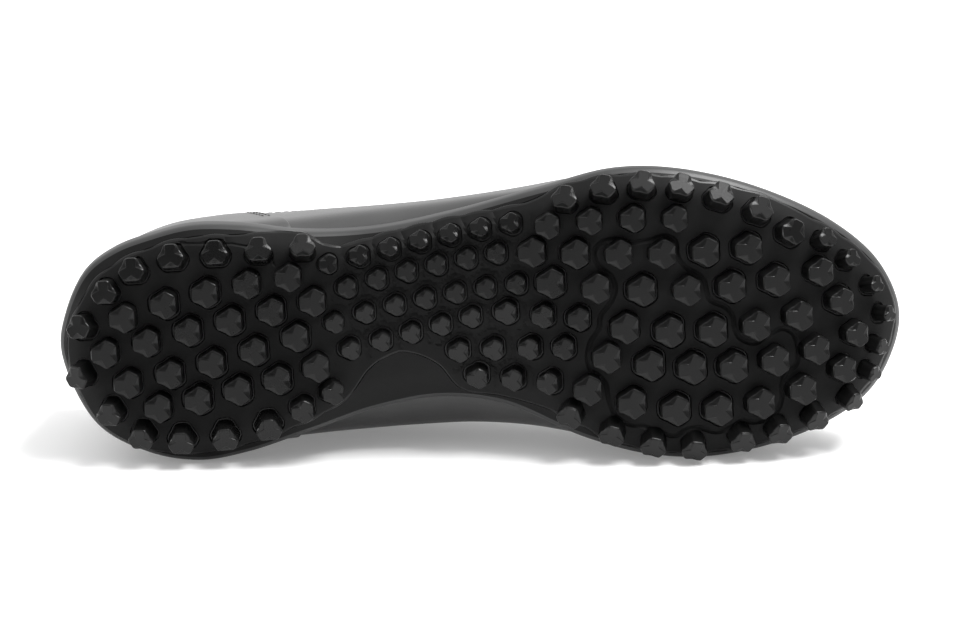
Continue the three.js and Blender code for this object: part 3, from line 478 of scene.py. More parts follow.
class Shell:
    """Corners and faces of one piece."""

    def __init__(self):
        self.corners, self.faces, self.finishes, self.count = [], [], [], 0

    def add(self, points):
        points = np.asarray(points, float).reshape(-1, 3)
        self.corners.append(points)
        self.count += len(points)
        return self.count - len(points)

    def face(self, *corners, finish=0):
        self.faces.append(corners)
        self.finishes.append(finish)

    def band(self, lower, upper, count, closed=True, finish=0):
        for i in range(count if closed else count - 1):
            j = (i + 1) % count
            self.face(lower + i, lower + j, upper + j, upper + i, finish=finish)

    def rings(self, rings, finish=0):
        """Adds rings of equal count with bands between them, and says where each starts."""
        starts = [self.add(ring) for ring in rings]
        for lower, upper in zip(starts, starts[1:]):
            self.band(lower, upper, len(rings[0]), finish=finish)
        return starts

    def hub(self, start, count, middle, finish=0):
        centre = self.add(middle)
        for i in range(count):
            self.face(start + i, start + (i + 1) % count, centre, finish=finish)

    def sheet(self, loops, inside, height, finish=0):
        """A sheet between an outer loop and holes, all already corners of this shell.

        loops holds (plan points, start) of the outer loop, then of each hole.
        """
        flat = np.vstack([loop for loop, _ in loops] + [inside])
        edges, known, at = [], [], 0
        for loop, start in loops:
            edges.append([(at + i, at + (i + 1) % len(loop)) for i in range(len(loop))])
            known.extend(range(start, start + len(loop)))
            at += len(loop)
        rims = [[pair[0] for pair in loop] for loop in edges]
        result = delaunay_2d_cdt([Vector(p) for p in flat], [], rims, 1, 1e-4, True)
        points, triangles, origins, belongs = result[0], result[2], result[3], result[5]
        places = np.array([(p.x, p.y) for p in points])
        heights = height(places)
        index = {}
        for triangle, faces in zip(triangles, belongs):
            if list(faces) != [0]:
                continue
            corners = []
            for corner in triangle:
                if corner not in index:
                    old = [o for o in origins[corner] if o < len(known)]
                    new = (*places[corner], heights[corner])
                    index[corner] = known[old[0]] if old else self.add(new)
                corners.append(index[corner])
            if len(set(corners)) == 3:
                self.face(*corners, finish=finish)

    def piece(self, name, finishes, slot, nodes=(), crease=32):
        """Blender object of this shell in the row's frame, riding on the shoe."""
        mesh = bpy.data.meshes.new(name)
        mesh.from_pydata(laid(np.vstack(self.corners)).tolist(), [], self.faces)
        for finish in finishes:
            mesh.materials.append(finish)
        mesh.polygons.foreach_set("material_index", self.finishes)
        form = bmesh.new()
        form.from_mesh(mesh)
        loose = [v for v in form.verts if not v.link_faces]
        bmesh.ops.delete(form, geom=loose, context="VERTS")
        bmesh.ops.recalc_face_normals(form, faces=form.faces)
        form.to_mesh(mesh)
        form.free()
        mesh.polygons.foreach_set("use_smooth", [True] * len(mesh.polygons))
        mesh.set_sharp_from_angle(angle=math.radians(crease))
        obj = bpy.data.objects.new(name, mesh)
        bpy.context.scene.collection.objects.link(obj)
        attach(obj, "root")
        if nodes:
            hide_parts(*nodes)
        return obj


def grid_inside(loop, spacing, margin, box=None):
    """Staggered points inside a loop, clear of its edge."""
    low, high = loop.min(axis=0), loop.max(axis=0)
    if box is not None:
        low, high = np.maximum(low, box[0]), np.minimum(high, box[1])
    x = np.arange(low[0], high[0], spacing)
    y = np.arange(low[1], high[1], spacing * 0.866)
    points = np.array([(a + spacing / 2 * (row % 2), b) for row, b in enumerate(y) for a in x])
    outer, inner = Span(loop).at(points[:, 0])
    points = points[(points[:, 1] > outer) & (points[:, 1] < inner)]
    return points[distance_to(loop, points) > margin]


# The studded outsole

def stud_places():
    """Place, size, turn and height of every stud."""
    studs = []
    for start, end, count, bow, size, turn in STUD_RUNS:
        for index in range(count):
            t = index / (count - 1) if count > 1 else 0
            along = mix(start[0], end[0], t)
            out = mix(start[1], end[1], t) + 4 * t * (1 - t) * bow
            taper = 1 - TOE_TAPER * float(ease(TAPER_START, 1, along))
            studs.append((along * SOLE_LENGTH, out * BALL_WIDTH, size * taper, turn))
    return studs


def polar(reach, degrees):
    """Place at a distance and a direction from a stud's middle."""
    angle = np.radians(degrees)
    return reach * np.array([math.cos(angle), math.sin(angle)])


def lobed(reach, dip, rounding):
    """Three-lobed outline: reach of the lobes, where the sides dip in to, length of the corners."""
    points = []
    for lobe in (60, 180, 300):
        pair = [polar(reach, lobe - LOBE_SWING), polar(reach, lobe + LOBE_SWING)]
        dips = [polar(dip, lobe - 60), polar(dip, lobe + 60)]
        for corner, before, after in ((pair[0], dips[0], pair[1]), (pair[1], pair[0], dips[1])):
            start = corner + unit(before - corner) * rounding
            end = corner + unit(after - corner) * rounding
            if before is pair[0]:
                points.append((points[-1] + start) / 2)
            for t in (0, 1 / 3, 2 / 3, 1):
                points.append(start * (1 - t) ** 2 + corner * 2 * t * (1 - t) + end * t * t)
        following = polar(reach, lobe + 120 - LOBE_SWING)
        following = following + unit(dips[1] - following) * rounding
        points += [mix(points[-1], dips[1], t) for t in (0.45, 0.85, 1)]
        points += [mix(following, dips[1], t) for t in (0.85, 0.45)]
    return np.array(points)


def on_plate(points, margin):
    """Which points lie on the studded plate, clear of its edge."""
    outer, inner = PLATE_SPAN.at(points[:, 0])
    inside = (points[:, 1] > outer) & (points[:, 1] < inner)
    return inside & (distance_to(PLATE_LINE, points[:, :2]) > margin)


def seated(ring, base, margin):
    """A ring in plan, drawn in towards the stud where it would pass the plate's edge."""
    if distance_to(PLATE_LINE, base[None])[0] > 12:
        return ring
    shares = np.linspace(1, 0.3, 29)
    there = base + (ring - base) * shares[:, None, None]
    settled = on_plate(there.reshape(-1, 2), margin).reshape(len(shares), -1)
    pull = np.where(settled.any(axis=0), shares[settled.argmax(axis=0)], shares[-1])
    return base + (ring - base) * pull[:, None]


class Stud:
    """One stud: its own axes, and its rings from the flat top down to the ground."""

    def __init__(self, x, y, size, turn):
        self.size, self.turn = size, turn
        self.height = float(mix(STUD_HEIGHT, WAIST_STUD_HEIGHT, waist_share(x)))
        near = np.array([(x + 0.5, y), (x - 0.5, y), (x, y + 0.5), (x, y - 0.5)])
        heights = ground_height(near)
        self.down = unit([heights[0] - heights[1], heights[2] - heights[3], -1.0])
        base = np.array([x - self.down[0] * self.height, y - self.down[1] * self.height])
        self.base = np.array([*base, ground_height(base[None])[0]])
        self.forward = unit(np.array([1.0, 0, 0]) - self.down * self.down[0])
        self.side = np.cross(self.forward, self.down)

    def ring(self, rise, reach, dip, rounding):
        flat = lobed(reach, dip, rounding)
        angle = math.radians(-self.turn)
        spin = np.array([[math.cos(angle), math.sin(angle)], [-math.sin(angle), math.cos(angle)]])
        flat = flat @ spin
        raised = self.base + self.down * rise
        return raised + flat[:, :1] * self.forward + flat[:, 1:] * self.side

    def ground_ring(self, spread, margin, rounding=1.3):
        """Plan of the stud's foot, or of a line round it."""
        reach = FOOT_REACH * self.size + spread
        ring = self.ring(0, reach, FOOT_DIP * reach, rounding)[:, :2]
        return seated(ring, self.base[:2], margin)


def moat_widths(studs, feet):
    """Room for the shallow moat round each stud, from its nearest neighbours and the groove."""
    centres = np.array([stud.base[:2] for stud in studs])
    widths = []
    for index, foot in enumerate(feet):
        away = np.linalg.norm(centres - centres[index], axis=1)
        near = [i for i in np.nonzero(away < 20)[0] if i != index]
        gaps = [np.linalg.norm(foot[:, None] - feet[i][None], axis=2).min() for i in near]
        groove = distance_to(GROOVE_LINE, foot).min() - GROOVE_WIDTH
        widths.append(max(0.12, min(MOAT_WIDTH, 0.46 * min(gaps), groove)))
    return widths


def relief(points, centres):
    """Low forms of the ground: the ball groove, and flat islands round the waist's studs."""
    groove = np.clip(1 - (distance_to(GROOVE_LINE, points) / GROOVE_WIDTH) ** 2, 0, 1) ** 1.5
    depth = GROOVE_DEPTH * groove
    for seam in SEAM_LINES:
        away = distance_to(seam, points, closed=False)
        depth += SEAM_DEPTH * np.clip(1 - (away / SEAM_WIDTH) ** 2, 0, 1)
    waist = waist_share(points[:, 0])
    low = np.nonzero(waist > 0.02)[0]
    if len(low):
        away = np.linalg.norm(points[low, None] - centres[None], axis=2)
        nearest = np.sort(away, axis=1)[:, :2]
        seam = 1 - ease(0.3, 1.5, nearest[:, 1] - nearest[:, 0])
        near = nearest[:, 0] < WAIST_SEAM_REACH
        depth[low] += WAIST_SEAM_DEPTH * seam * waist[low] * near
    return depth


def far_from(rims, points, margin):
    """Which points keep clear of a cloud of others."""
    tree = KDTree(len(rims))
    for index, rim in enumerate(rims):
        tree.insert((*rim, 0), index)
    tree.balance()
    return np.array([tree.find((*point, 0))[2] > margin for point in points])


def stud_rings(stud, foot, width, surface):
    """Rings of a stud, from its notched top down its flank and out through its moat."""
    size, height = stud.size, stud.height
    top, notch, shoulder = LOBE_REACH * size, NOTCH_REACH * size, SHOULDER_REACH * size
    rings = [
        stud.ring(height, top - 0.28, notch - 0.24, 0.85),
        stud.ring(height - 0.05, top - 0.1, notch - 0.02, 0.95),
        stud.ring(height - 0.22, top, notch + 0.2, 1.0),
        stud.ring(height - CHAMFER_DEPTH, shoulder - 0.03, 0.7 * shoulder, 1.1),
        stud.ring(height - CHAMFER_DEPTH - 0.25, shoulder + 0.03, FLANK_DIP * shoulder, 1.15),
    ]
    flank = rings[-1]
    ground = np.column_stack([foot, surface(foot)])
    rings += [mix(flank, ground, 0.45), mix(flank, ground, 0.9)]
    depth = MOAT_DEPTH * (1 - MOAT_WAIST_FADE * float(waist_share(stud.base[0])))
    for share, sink in MOAT_PROFILE:
        ring = stud.ground_ring(share * width, mix(FOOT_MARGIN, 0.75, share), 1.3 + share)
        rings.append(np.column_stack([ring, surface(ring) + sink * depth]))
    return rings


def ground_points(drawn, rims):
    """Places on the ground between the studs, closer at the waist, the groove and the seams."""
    waist = np.array([[WAIST_BACK, -BALL_WIDTH], [WAIST_FRONT, BALL_WIDTH]])
    places = [
        grid_inside(drawn, GROUND_SPACING, 1.6),
        grid_inside(drawn, WAIST_SPACING, 1.2, waist),
    ]
    across = outward(GROOVE_LINE)
    for spread in (-0.95, -0.5, 0, 0.5, 0.95):
        places.append(GROOVE_LINE + across * spread)
    for seam in SEAM_LINES:
        run = np.linspace(0, len(seam) - 1, 40)
        line = np.stack([np.interp(run, np.arange(len(seam)), column) for column in seam.T], axis=1)
        along = unit(np.gradient(line, axis=0))
        side = np.stack([along[:, 1], -along[:, 0]], axis=1)
        places += [line + side * spread * SEAM_WIDTH for spread in (-1, 0, 1)]
    places = np.vstack(places)
    places = places[far_from(rims, places, 0.42)]
    return places[on_plate(places, 0.9)]


def build_outsole(finish, ground_finish):
    """Thin plate with a scalloped edge, and the studs that grow out of it."""
    shell = Shell()
    studs = [Stud(*place) for place in stud_places()]
    centres = np.array([stud.base[:2] for stud in studs])
    feet = [stud.ground_ring(0, FOOT_MARGIN) for stud in studs]
    drawn = anticlockwise(outline(PLATE, PLATE_POINTS))
    out = outward(drawn)
    near = np.linalg.norm(drawn[:, None] - centres[None], axis=2).min(axis=1)
    scallop = SCALLOP * ease(*SCALLOP_SPAN, near)

    def surface(points):
        return ground_height(points) + relief(points, centres)

    def edge_ring(spread, rise):
        ring = drawn + out * (spread + scallop[:, None] * min(1, spread + 1))
        return np.column_stack([ring, surface(ring) + rise])

    edge = edge_ring(-0.5, 0)
    loops = [(edge[:, :2], shell.add(edge))]
    for stud, foot, width in zip(studs, feet, moat_widths(studs, feet)):
        rings = stud_rings(stud, foot, width, surface)
        starts = shell.rings(rings)
        shell.hub(starts[0], len(rings[0]), stud.base + stud.down * stud.height)
        loops.append((rings[-1][:, :2], starts[-1]))
    rims = np.vstack([loop for loop, _ in loops])
    shell.sheet(loops, ground_points(drawn, rims), surface, finish=1)
    side = [edge_ring(-0.12, 0.12), edge_ring(0, 0.4), edge_ring(0, 1.6), edge_ring(-0.5, 2.4)]
    starts = shell.rings([edge] + side)
    shell.sheet([(side[-1][:, :2], starts[-1])], grid_inside(drawn, 6, 3),
                lambda p: ground_height(p) + PLATE_THICKNESS)
    shell.piece("studded_outsole", [finish, ground_finish], "sole_rubber", ["outsole"], 14)


# The midsole

def spine(points):
    """Nearest places on the sole's middle line, which stops short of both ends."""
    x = np.clip(points[:, 0], SPINE_INSET, SOLE_LENGTH - SPINE_INSET)
    outer, inner = RIM_SPAN.at(x)
    return np.column_stack([x, (outer + inner) / 2])


def cup_ring(rim, share, offset):
    """Where lines from the shoe's spine to the rim meet the last, at a height above the bed."""
    middle = spine(rim)
    low, high = np.full(len(rim), 0.3), np.full(len(rim), 1.2)
    for _ in range(26):
        t = (low + high) / 2
        place = middle + (rim - middle) * t[:, None]
        outer, inner = last_slice(place[:, 0], share, offset)
        inside = (place[:, 1] > outer) & (place[:, 1] < inner)
        inside &= (place[:, 0] > LAST_SPAN.low - offset) & (place[:, 0] < LAST_SPAN.high + offset)
        low, high = np.where(inside, t, low), np.where(inside, high, t)
    ring = middle + (rim - middle) * low[:, None]
    return np.column_stack([ring, bed_height(ring[:, 0]) + share * LIP_RISE])


def build_midsole(finish, waist_finish):
    """Moulded cup: side wall and lip, bed for the last, and the pocket that takes the plate."""
    shell = Shell()
    rim = anticlockwise(outline(RIM, RIM_POINTS))
    out = outward(rim)

    def under(points):
        return ground_height(points) + PLATE_STEP

    def wall_ring(spread, share):
        ring = rim + out * spread
        lip = bed_height(ring[:, 0]) + LIP_RISE
        return np.column_stack([ring, mix(under(ring), lip, share)])

    rings = [wall_ring(spread, share) for spread, share in WALL_PROFILE]
    cup = cup_ring(rim, 1, GAP)
    inward = cup[:, :2] - rings[-1][:, :2]
    rings.append(np.column_stack([rings[-1][:, :2] + inward * 0.85, rings[-1][:, 2]]))
    for share in (0.93, 0.7, 0.45, 0.2, 0.05):
        rings.append(cup_ring(rim, share, GAP))
    starts = shell.rings(rings)
    bed = rings[-1][:, :2]
    shell.sheet([(bed, starts[-1])], grid_inside(bed, HIDDEN_SPACING, 3),
                lambda p: bed_height(p[:, 0]) - GAP)
    drawn = anticlockwise(outline(PLATE, SEAT_POINTS))
    seat = drawn + outward(drawn) * 0.25
    seat_ring = np.column_stack([seat, under(seat)])
    deep = seat_ring + [0, 0, PLATE_THICKNESS - PLATE_STEP + GAP]
    seats = shell.rings([seat_ring, deep])
    bottom = rings[0][:, :2]
    inside = grid_inside(bottom, BARE_SPACING, 1.2)
    outer, inner = PLATE_SPAN.at(inside[:, 0])
    beyond = (inside[:, 1] < outer) | (inside[:, 1] > inner)
    inside = inside[beyond & (distance_to(PLATE_LINE, inside) > 1.4)]
    shell.sheet([(bottom, starts[0]), (seat, seats[0])], inside, under, finish=1)
    shell.sheet([(seat, seats[1])], grid_inside(seat, HIDDEN_SPACING, 3),
                lambda p: ground_height(p) + PLATE_THICKNESS + GAP)
    shell.piece("midsole_cup", [finish, waist_finish], "sidewall_rubber", ["midsole"])


# The upper and what goes with it

def lean(x, z):
    """Lean of the back of the heel towards the foot."""
    fade = np.maximum(0, 1 - x / LEAN_REACH)
    return HEEL_LEAN * ease(LEAN_FOOT, INSTEP_HEIGHT, z) * fade


def last_skin(x, angle, offset):
    """Places on the last grown by an offset: angle 0 is its inner side, a right angle its crest."""
    s = sections_at(x)
    cos, sin = np.cos(angle), np.sin(angle)
    under = np.where(cos < 0, s["powers"][0], s["powers"][1])
    power = np.where(sin >= 0, 2 / s["square"], under)
    across = blunt(cos, power)
    edge = np.where(across < 0, s["crest"] - s["outer"], s["inner"] - s["crest"]) + offset
    y = s["crest"] + across * np.maximum(edge, 0.05)
    reach = np.where(sin >= 0, s["top"] + offset, s["floor"] - offset)
    z = mix(s["widest"], reach, np.abs(sin) ** power)
    middle = (LAST_SPAN.low + LAST_SPAN.high) / 2
    grown = x + offset * (x - middle) / (LAST_SPAN.high - middle)
    return np.stack([grown + lean(grown, z), y, z], axis=-1)


def crown_height(x, y, offset):
    """Height of the last's upper skin over a place, grown by an offset."""
    s = sections_at(x)
    edge = np.where(y < s["crest"], s["outer"] - offset, s["inner"] + offset)
    share = np.minimum(1, np.abs((y - s["crest"]) / (edge - s["crest"])))
    crown = (1 - share ** s["square"]) ** (1 / s["square"])
    return s["widest"] + (s["top"] + offset - s["widest"]) * crown


def side_place(x, z, inner, offset):
    """Place on the last's skin at a height, on its inner or its outer side."""
    s = sections_at(x)
    share = np.clip((z - s["widest"]) / (s["top"] + offset - s["widest"]), 0, 1)
    across = (1 - share ** s["square"]) ** (1 / s["square"])
    edge = s["inner"] + offset if inner else s["outer"] - offset
    y = s["crest"] + (edge - s["crest"]) * across
    return np.stack([x + lean(x, z), y, z], axis=-1)


def collar_height(x):
    """Height of the collar's edge, seen from the side."""
    rows = np.array([
        (0, COLLAR_BACK), (0.08 * SOLE_LENGTH, mix(COLLAR_DIP, COLLAR_BACK, 0.72)),
        (COLLAR_DIP_AT, COLLAR_DIP),
        (mix(COLLAR_DIP_AT, THROAT_TOP, 0.6), mix(COLLAR_DIP, THROAT_TOP_HEIGHT, 0.42)),
        (THROAT_TOP, THROAT_TOP_HEIGHT),
    ])
    steep = (2 * INSTEP_HEIGHT - THROAT_TOP_HEIGHT) / COLLAR_STEEP
    return smooth(rows[:, 0], rows[:, 1], x) + np.maximum(0, x - THROAT_TOP) * steep


def throat_middle(x):
    """Middle line and half width of the throat."""
    ends = sections_at(np.array([THROAT_TOP, THROAT_END]))["crest"]
    share = np.clip((x - THROAT_TOP) / (THROAT_END - THROAT_TOP), 0, 1)
    return mix(ends[0], ends[1], share), mix(THROAT_TOP_HALF, THROAT_END_HALF, share)


def throat_depth(x, y):
    """How far inside the throat a place is in plan, below 0 outside it."""
    middle, half = throat_middle(x)
    away = np.hypot(y - middle, np.maximum(0, x - THROAT_END))
    return np.minimum(half - away, x - THROAT_TOP + THROAT_OVERRUN)


def eyelet_places():
    """Places of the eyelets in plan, from the lowest pair up: outer, then inner."""
    pairs = []
    for index in range(EYELET_PAIRS):
        share = index / (EYELET_PAIRS - 1)
        x = mix(THROAT_END - FIRST_EYELET, THROAT_TOP + LAST_EYELET, share)
        crest = float(sections_at(np.array([x]))["crest"][0])
        slot = float(throat_middle(np.array([x]))[1][0]) + EYELET_INSET
        pairs.append(((x, crest - slot), (x, crest + slot)))
    return pairs


def upper_cut(x, angle):
    """Below 0 where the upper has material."""
    places = last_skin(x, angle, 0.0)
    high = places[:, 2] > THROAT_FLOOR
    holes = np.array(eyelet_places()).reshape(-1, 2)
    away = np.linalg.norm(places[:, None, :2] - holes[None], axis=2).min(axis=1)
    under = (np.sin(angle) < 0) & (places[:, 2] < bed_height(x) + 2 * WALL)
    window = np.full(len(x), -9.0)
    window[under] = distance_to(LAST_LINE, places[under, :2]) - LASTING_MARGIN
    return np.max([
        places[:, 2] - collar_height(places[:, 0]),
        np.where(high, throat_depth(places[:, 0], places[:, 1]), -9),
        np.where(high, EYELET_DIAMETER / 2 - away, -9),
        window,
    ], axis=0)


def upper_relief(x, angle):
    """Soft creases of the upper's outside, placed across the vamp."""
    around = np.degrees(np.mod(angle, 2 * np.pi))
    flat = np.column_stack([x, around * DEGREE_SPAN])
    relief = np.zeros(len(x))
    for start, end, sink, width in VAMP_CREASES:
        line = np.array([(a * SOLE_LENGTH, b * DEGREE_SPAN) for a, b in (start, end)])
        bowed = np.array([line[0], line.mean(axis=0) + [CREASE_BOW, 0], line[1]])
        away = distance_to(bowed, flat, closed=False)
        relief -= sink * np.exp(-(away / width) ** 2)
        relief += 0.4 * sink * np.exp(-((away - 2.1 * width) / width) ** 2)
    return relief


def net_quads(rows, columns, mirrored):
    """Faces of a net round the last, whose end rows are folded shut."""
    quads = []
    for low in range(0, (rows - 1) * columns, columns):
        high = low + columns
        for j in range(columns):
            k = (j + 1) % columns
            quads.append((low + j, high + j, high + k, low + k))
    last = (rows - 1) * columns
    for j in range(columns // 2):
        quads.append((j, j + 1, mirrored[j + 1], mirrored[j]))
        quads.append(tuple(last + c for c in (mirrored[j], mirrored[j + 1], j + 1, j)))
    return quads


def clipped(quads, kept, count):
    """Faces cut at the border of what is kept, and the pairs of corners that it runs between."""
    faces, crossings = [], {}
    for quad in quads:
        loop = []
        for p, q in zip(quad, quad[1:] + quad[:1]):
            if kept[p]:
                loop.append(int(p))
            if kept[p] != kept[q]:
                key = (p, q) if kept[p] else (q, p)
                loop.append(crossings.setdefault(key, count + len(crossings)))
        loop = tuple(dict.fromkeys(loop))
        if len(loop) > 2:
            faces.append(loop)
    return faces, np.array(list(crossings))


def skin_net(cut, rows, columns):
    """Net over the last where cut is below 0: places along it, angles round it, and faces."""
    run = np.linspace(0, 1, rows)
    sweep = mix(run, (1 - np.cos(np.pi * run)) / 2, 0.5)
    stations = mix(LAST_SPAN.low + 0.02, LAST_SPAN.high - 0.02, sweep)
    even = full_turn(columns) - np.pi / 2
    angles = even + 0.2 * np.sin(2 * even) * (np.sin(even) > 0)
    x, a = (grid.ravel() for grid in np.meshgrid(stations, angles, indexing="ij"))
    kept = (cut(x, a) < 0).reshape(rows, columns)
    mirrored = -np.arange(columns) % columns
    for end in (0, rows - 1):
        kept[end] &= kept[end][mirrored]
    faces, pairs = clipped(net_quads(rows, columns, mirrored), kept.ravel(), len(x))
    home_x, home_a, away_x, away_a = x[pairs[:, 0]], a[pairs[:, 0]], x[pairs[:, 1]], a[pairs[:, 1]]
    away_a = away_a + 2 * np.pi * np.round((home_a - away_a) / (2 * np.pi))
    low, high = np.zeros(len(pairs)), np.ones(len(pairs))
    for _ in range(12):
        t = (low + high) / 2
        inside = cut(mix(home_x, away_x, t), mix(home_a, away_a, t)) < 0
        low, high = np.where(inside, t, low), np.where(inside, high, t)
    x = np.concatenate([x, mix(home_x, away_x, low)])
    a = np.concatenate([a, mix(home_a, away_a, low)])
    used = np.unique(np.concatenate([np.array(face) for face in faces]))
    renamed = {old: new for new, old in enumerate(used)}
    return x[used], a[used], [tuple(renamed[corner] for corner in face) for face in faces]


def face_normals(places, faces):
    """Outward direction at every place of a net, from the faces round it."""
    normals = np.zeros_like(places)
    for face in faces:
        corners = places[list(face)]
        spokes = corners[1:] - corners[0]
        normals[list(face)] += np.cross(spokes[:-1], spokes[1:]).sum(axis=0)
    normals = unit(normals + 1e-9)
    middle = places.mean(axis=0)
    return normals * np.sign(np.sum(normals * (places - middle)))


def round_rim(shell, edges, skins, starts, rounding):
    """Joins two skins along their free edges with a rounded rim."""
    outer, inner = skins
    border = [pair for pair in edges if pair[::-1] not in edges]
    after, before = dict(border), {q: p for p, q in border}
    rim = [p for p in after if p in before]
    tangent = unit(np.array([outer[after[p]] - outer[before[p]] for p in rim]) + 1e-9)
    away = unit(np.cross(tangent, outer[rim] - inner[rim]) + 1e-9)
    home = np.array([edges[p, after[p]] for p in rim])
    away *= np.sign(np.sum(away * (outer[rim] - home)))
    strips = [{p: starts[0] + p for p in rim}]
    for share, bulge in ((0.12, 0.6), (0.5, 1.0), (0.88, 0.6)):
        start = shell.add(mix(outer[rim], inner[rim], share) + away * bulge * rounding)
        strips.append({p: start + index for index, p in enumerate(rim)})
    strips.append({p: starts[1] + p for p in rim})
    for low, high in zip(strips, strips[1:]):
        for p, q in border:
            if p in low and q in low:
                shell.face(low[q], low[p], high[p], high[q])


def skin_shell(cut, outside, inside, rounding, size=LAYER_NET, pillow=None):
    """Closed shell between two offsets of the last's skin, or as thick as a pillow says."""
    x, a, faces = skin_net(cut, *size)
    outer = last_skin(x, a, outside(x, a))
    if pillow is None:
        inner = last_skin(x, a, np.full(len(x), inside))
    else:
        inner = outer - face_normals(outer, faces) * pillow(x, a)[:, None]
    shell = Shell()
    starts = shell.add(outer), shell.add(inner)
    edges = {}
    for face in faces:
        shell.face(*[starts[0] + corner for corner in face])
        shell.face(*[starts[1] + corner for corner in reversed(face)], finish=1)
        middle = outer[list(face)].mean(axis=0)
        edges.update({pair: middle for pair in zip(face, face[1:] + face[:1])})
    round_rim(shell, edges, (outer, inner), starts, rounding)
    return shell


def build_upper(finish, lining):
    """Hollow shell on the last, open at the collar, the throat and underneath."""
    shell = skin_shell(upper_cut, upper_relief, -WALL, EDGE_ROUNDING, UPPER_NET)
    shell.piece("upper_shell", [finish, lining], "upper_synthetic", ["upper"], 40)


def build_eyestay(finish):
    """Layer round the throat that carries the eyelets."""
    def cut(x, angle):
        places = last_skin(x, angle, 0.0)
        margin = -EYESTAY_WIDTH - throat_depth(places[:, 0], places[:, 1])
        low = THROAT_FLOOR - places[:, 2]
        return np.max([upper_cut(x, angle), margin, low], axis=0)

    def raised(x, angle):
        return upper_relief(x, angle) + EYESTAY_STEP

    shell = skin_shell(cut, raised, -LAYER_BITE, LAYER_ROUNDING, EYESTAY_NET)
    shell.piece("eyestay_layer", [finish, finish], "upper_synthetic", crease=40)


def build_counter(finish):
    """Stiff layer round the back of the heel."""
    def cut(x, angle):
        places = last_skin(x, angle, 0.0)
        front = places[:, 0] + COUNTER_SLOPE * (places[:, 2] - HEEL_BED) - COUNTER_REACH
        foot = HEEL_BED + 1 - places[:, 2]
        return np.max([upper_cut(x, angle), front, foot, -np.sin(angle) - 0.7], axis=0)

    def raised(x, angle):
        return np.full(len(x), COUNTER_STEP)

    shell = skin_shell(cut, raised, -LAYER_BITE, LAYER_ROUNDING)
    shell.piece("heel_counter", [finish, finish], "upper_synthetic", crease=40)


def build_collar_padding(finish):
    """Padded lining round the inside of the collar."""
    def depth(x, angle):
        places = last_skin(x, angle, 0.0)
        return collar_height(places[:, 0]) - places[:, 2], places

    def cut(x, angle):
        down, places = depth(x, angle)
        front = places[:, 0] - (THROAT_TOP - COLLAR_PADDING_END)
        return np.max([-down - 0.2, down - COLLAR_PADDING_DEPTH, front, -np.sin(angle)], axis=0)

    def pillow(x, angle):
        down, places = depth(x, angle)
        share = np.clip(down / COLLAR_PADDING_DEPTH, 0, 1)
        swell = np.abs(np.sin(np.pi * share**0.62)) ** 0.8
        ends = (THROAT_TOP - COLLAR_PADDING_FADE, THROAT_TOP - COLLAR_PADDING_END)
        fade = 1 - ease(*ends, places[:, 0])
        return COLLAR_LINING + COLLAR_PADDING * swell * mix(0.25, 1, fade)

    def lined(x, angle):
        return np.full(len(x), -WALL - 0.05)

    shell = skin_shell(cut, lined, 0, EDGE_ROUNDING, pillow=pillow)
    padding = shell.piece("collar_padding", [finish, finish], "textile", crease=60)


def build_insole(finish):
    """Removable footbed, with its edges rounded and its face slightly dished."""
    shell = Shell()
    rim = anticlockwise(outline(RIM, INSOLE_POINTS))
    low, high = WALL + GAP, WALL + GAP + INSOLE_THICKNESS
    rings = []
    for height, spread in ((low, 1.0), (low, 0.3), (low + 0.5, 0), (high - 0.7, 0),
                           (high - 0.15, 0.25), (high, 0.9), (high - 0.25, 5)):
        ring = cup_ring(rim, height / LIP_RISE, -WALL - GAP - 0.15)
        inward = unit(spine(rim) - ring[:, :2])
        ring[:, :2] += inward * spread
        ring[:, 2] = bed_height(ring[:, 0]) + height
        rings.append(ring)
    starts = shell.rings(rings)
    foot = rings[0][:, :2]
    shell.sheet([(foot, starts[0])], grid_inside(foot, HIDDEN_SPACING, 3),
                lambda p: bed_height(p[:, 0]) + low)
    face = rings[-1][:, :2]

    def dished(points):
        dish = INSOLE_DISH * ease(0, INSOLE_DISH_WIDTH, distance_to(face, points))
        return bed_height(points[:, 0]) + high - 0.25 - dish

    shell.sheet([(face, starts[-1])], grid_inside(face, 4, 2), dished)
    shell.piece("insole_footbed", [finish], "textile", ["insole"])


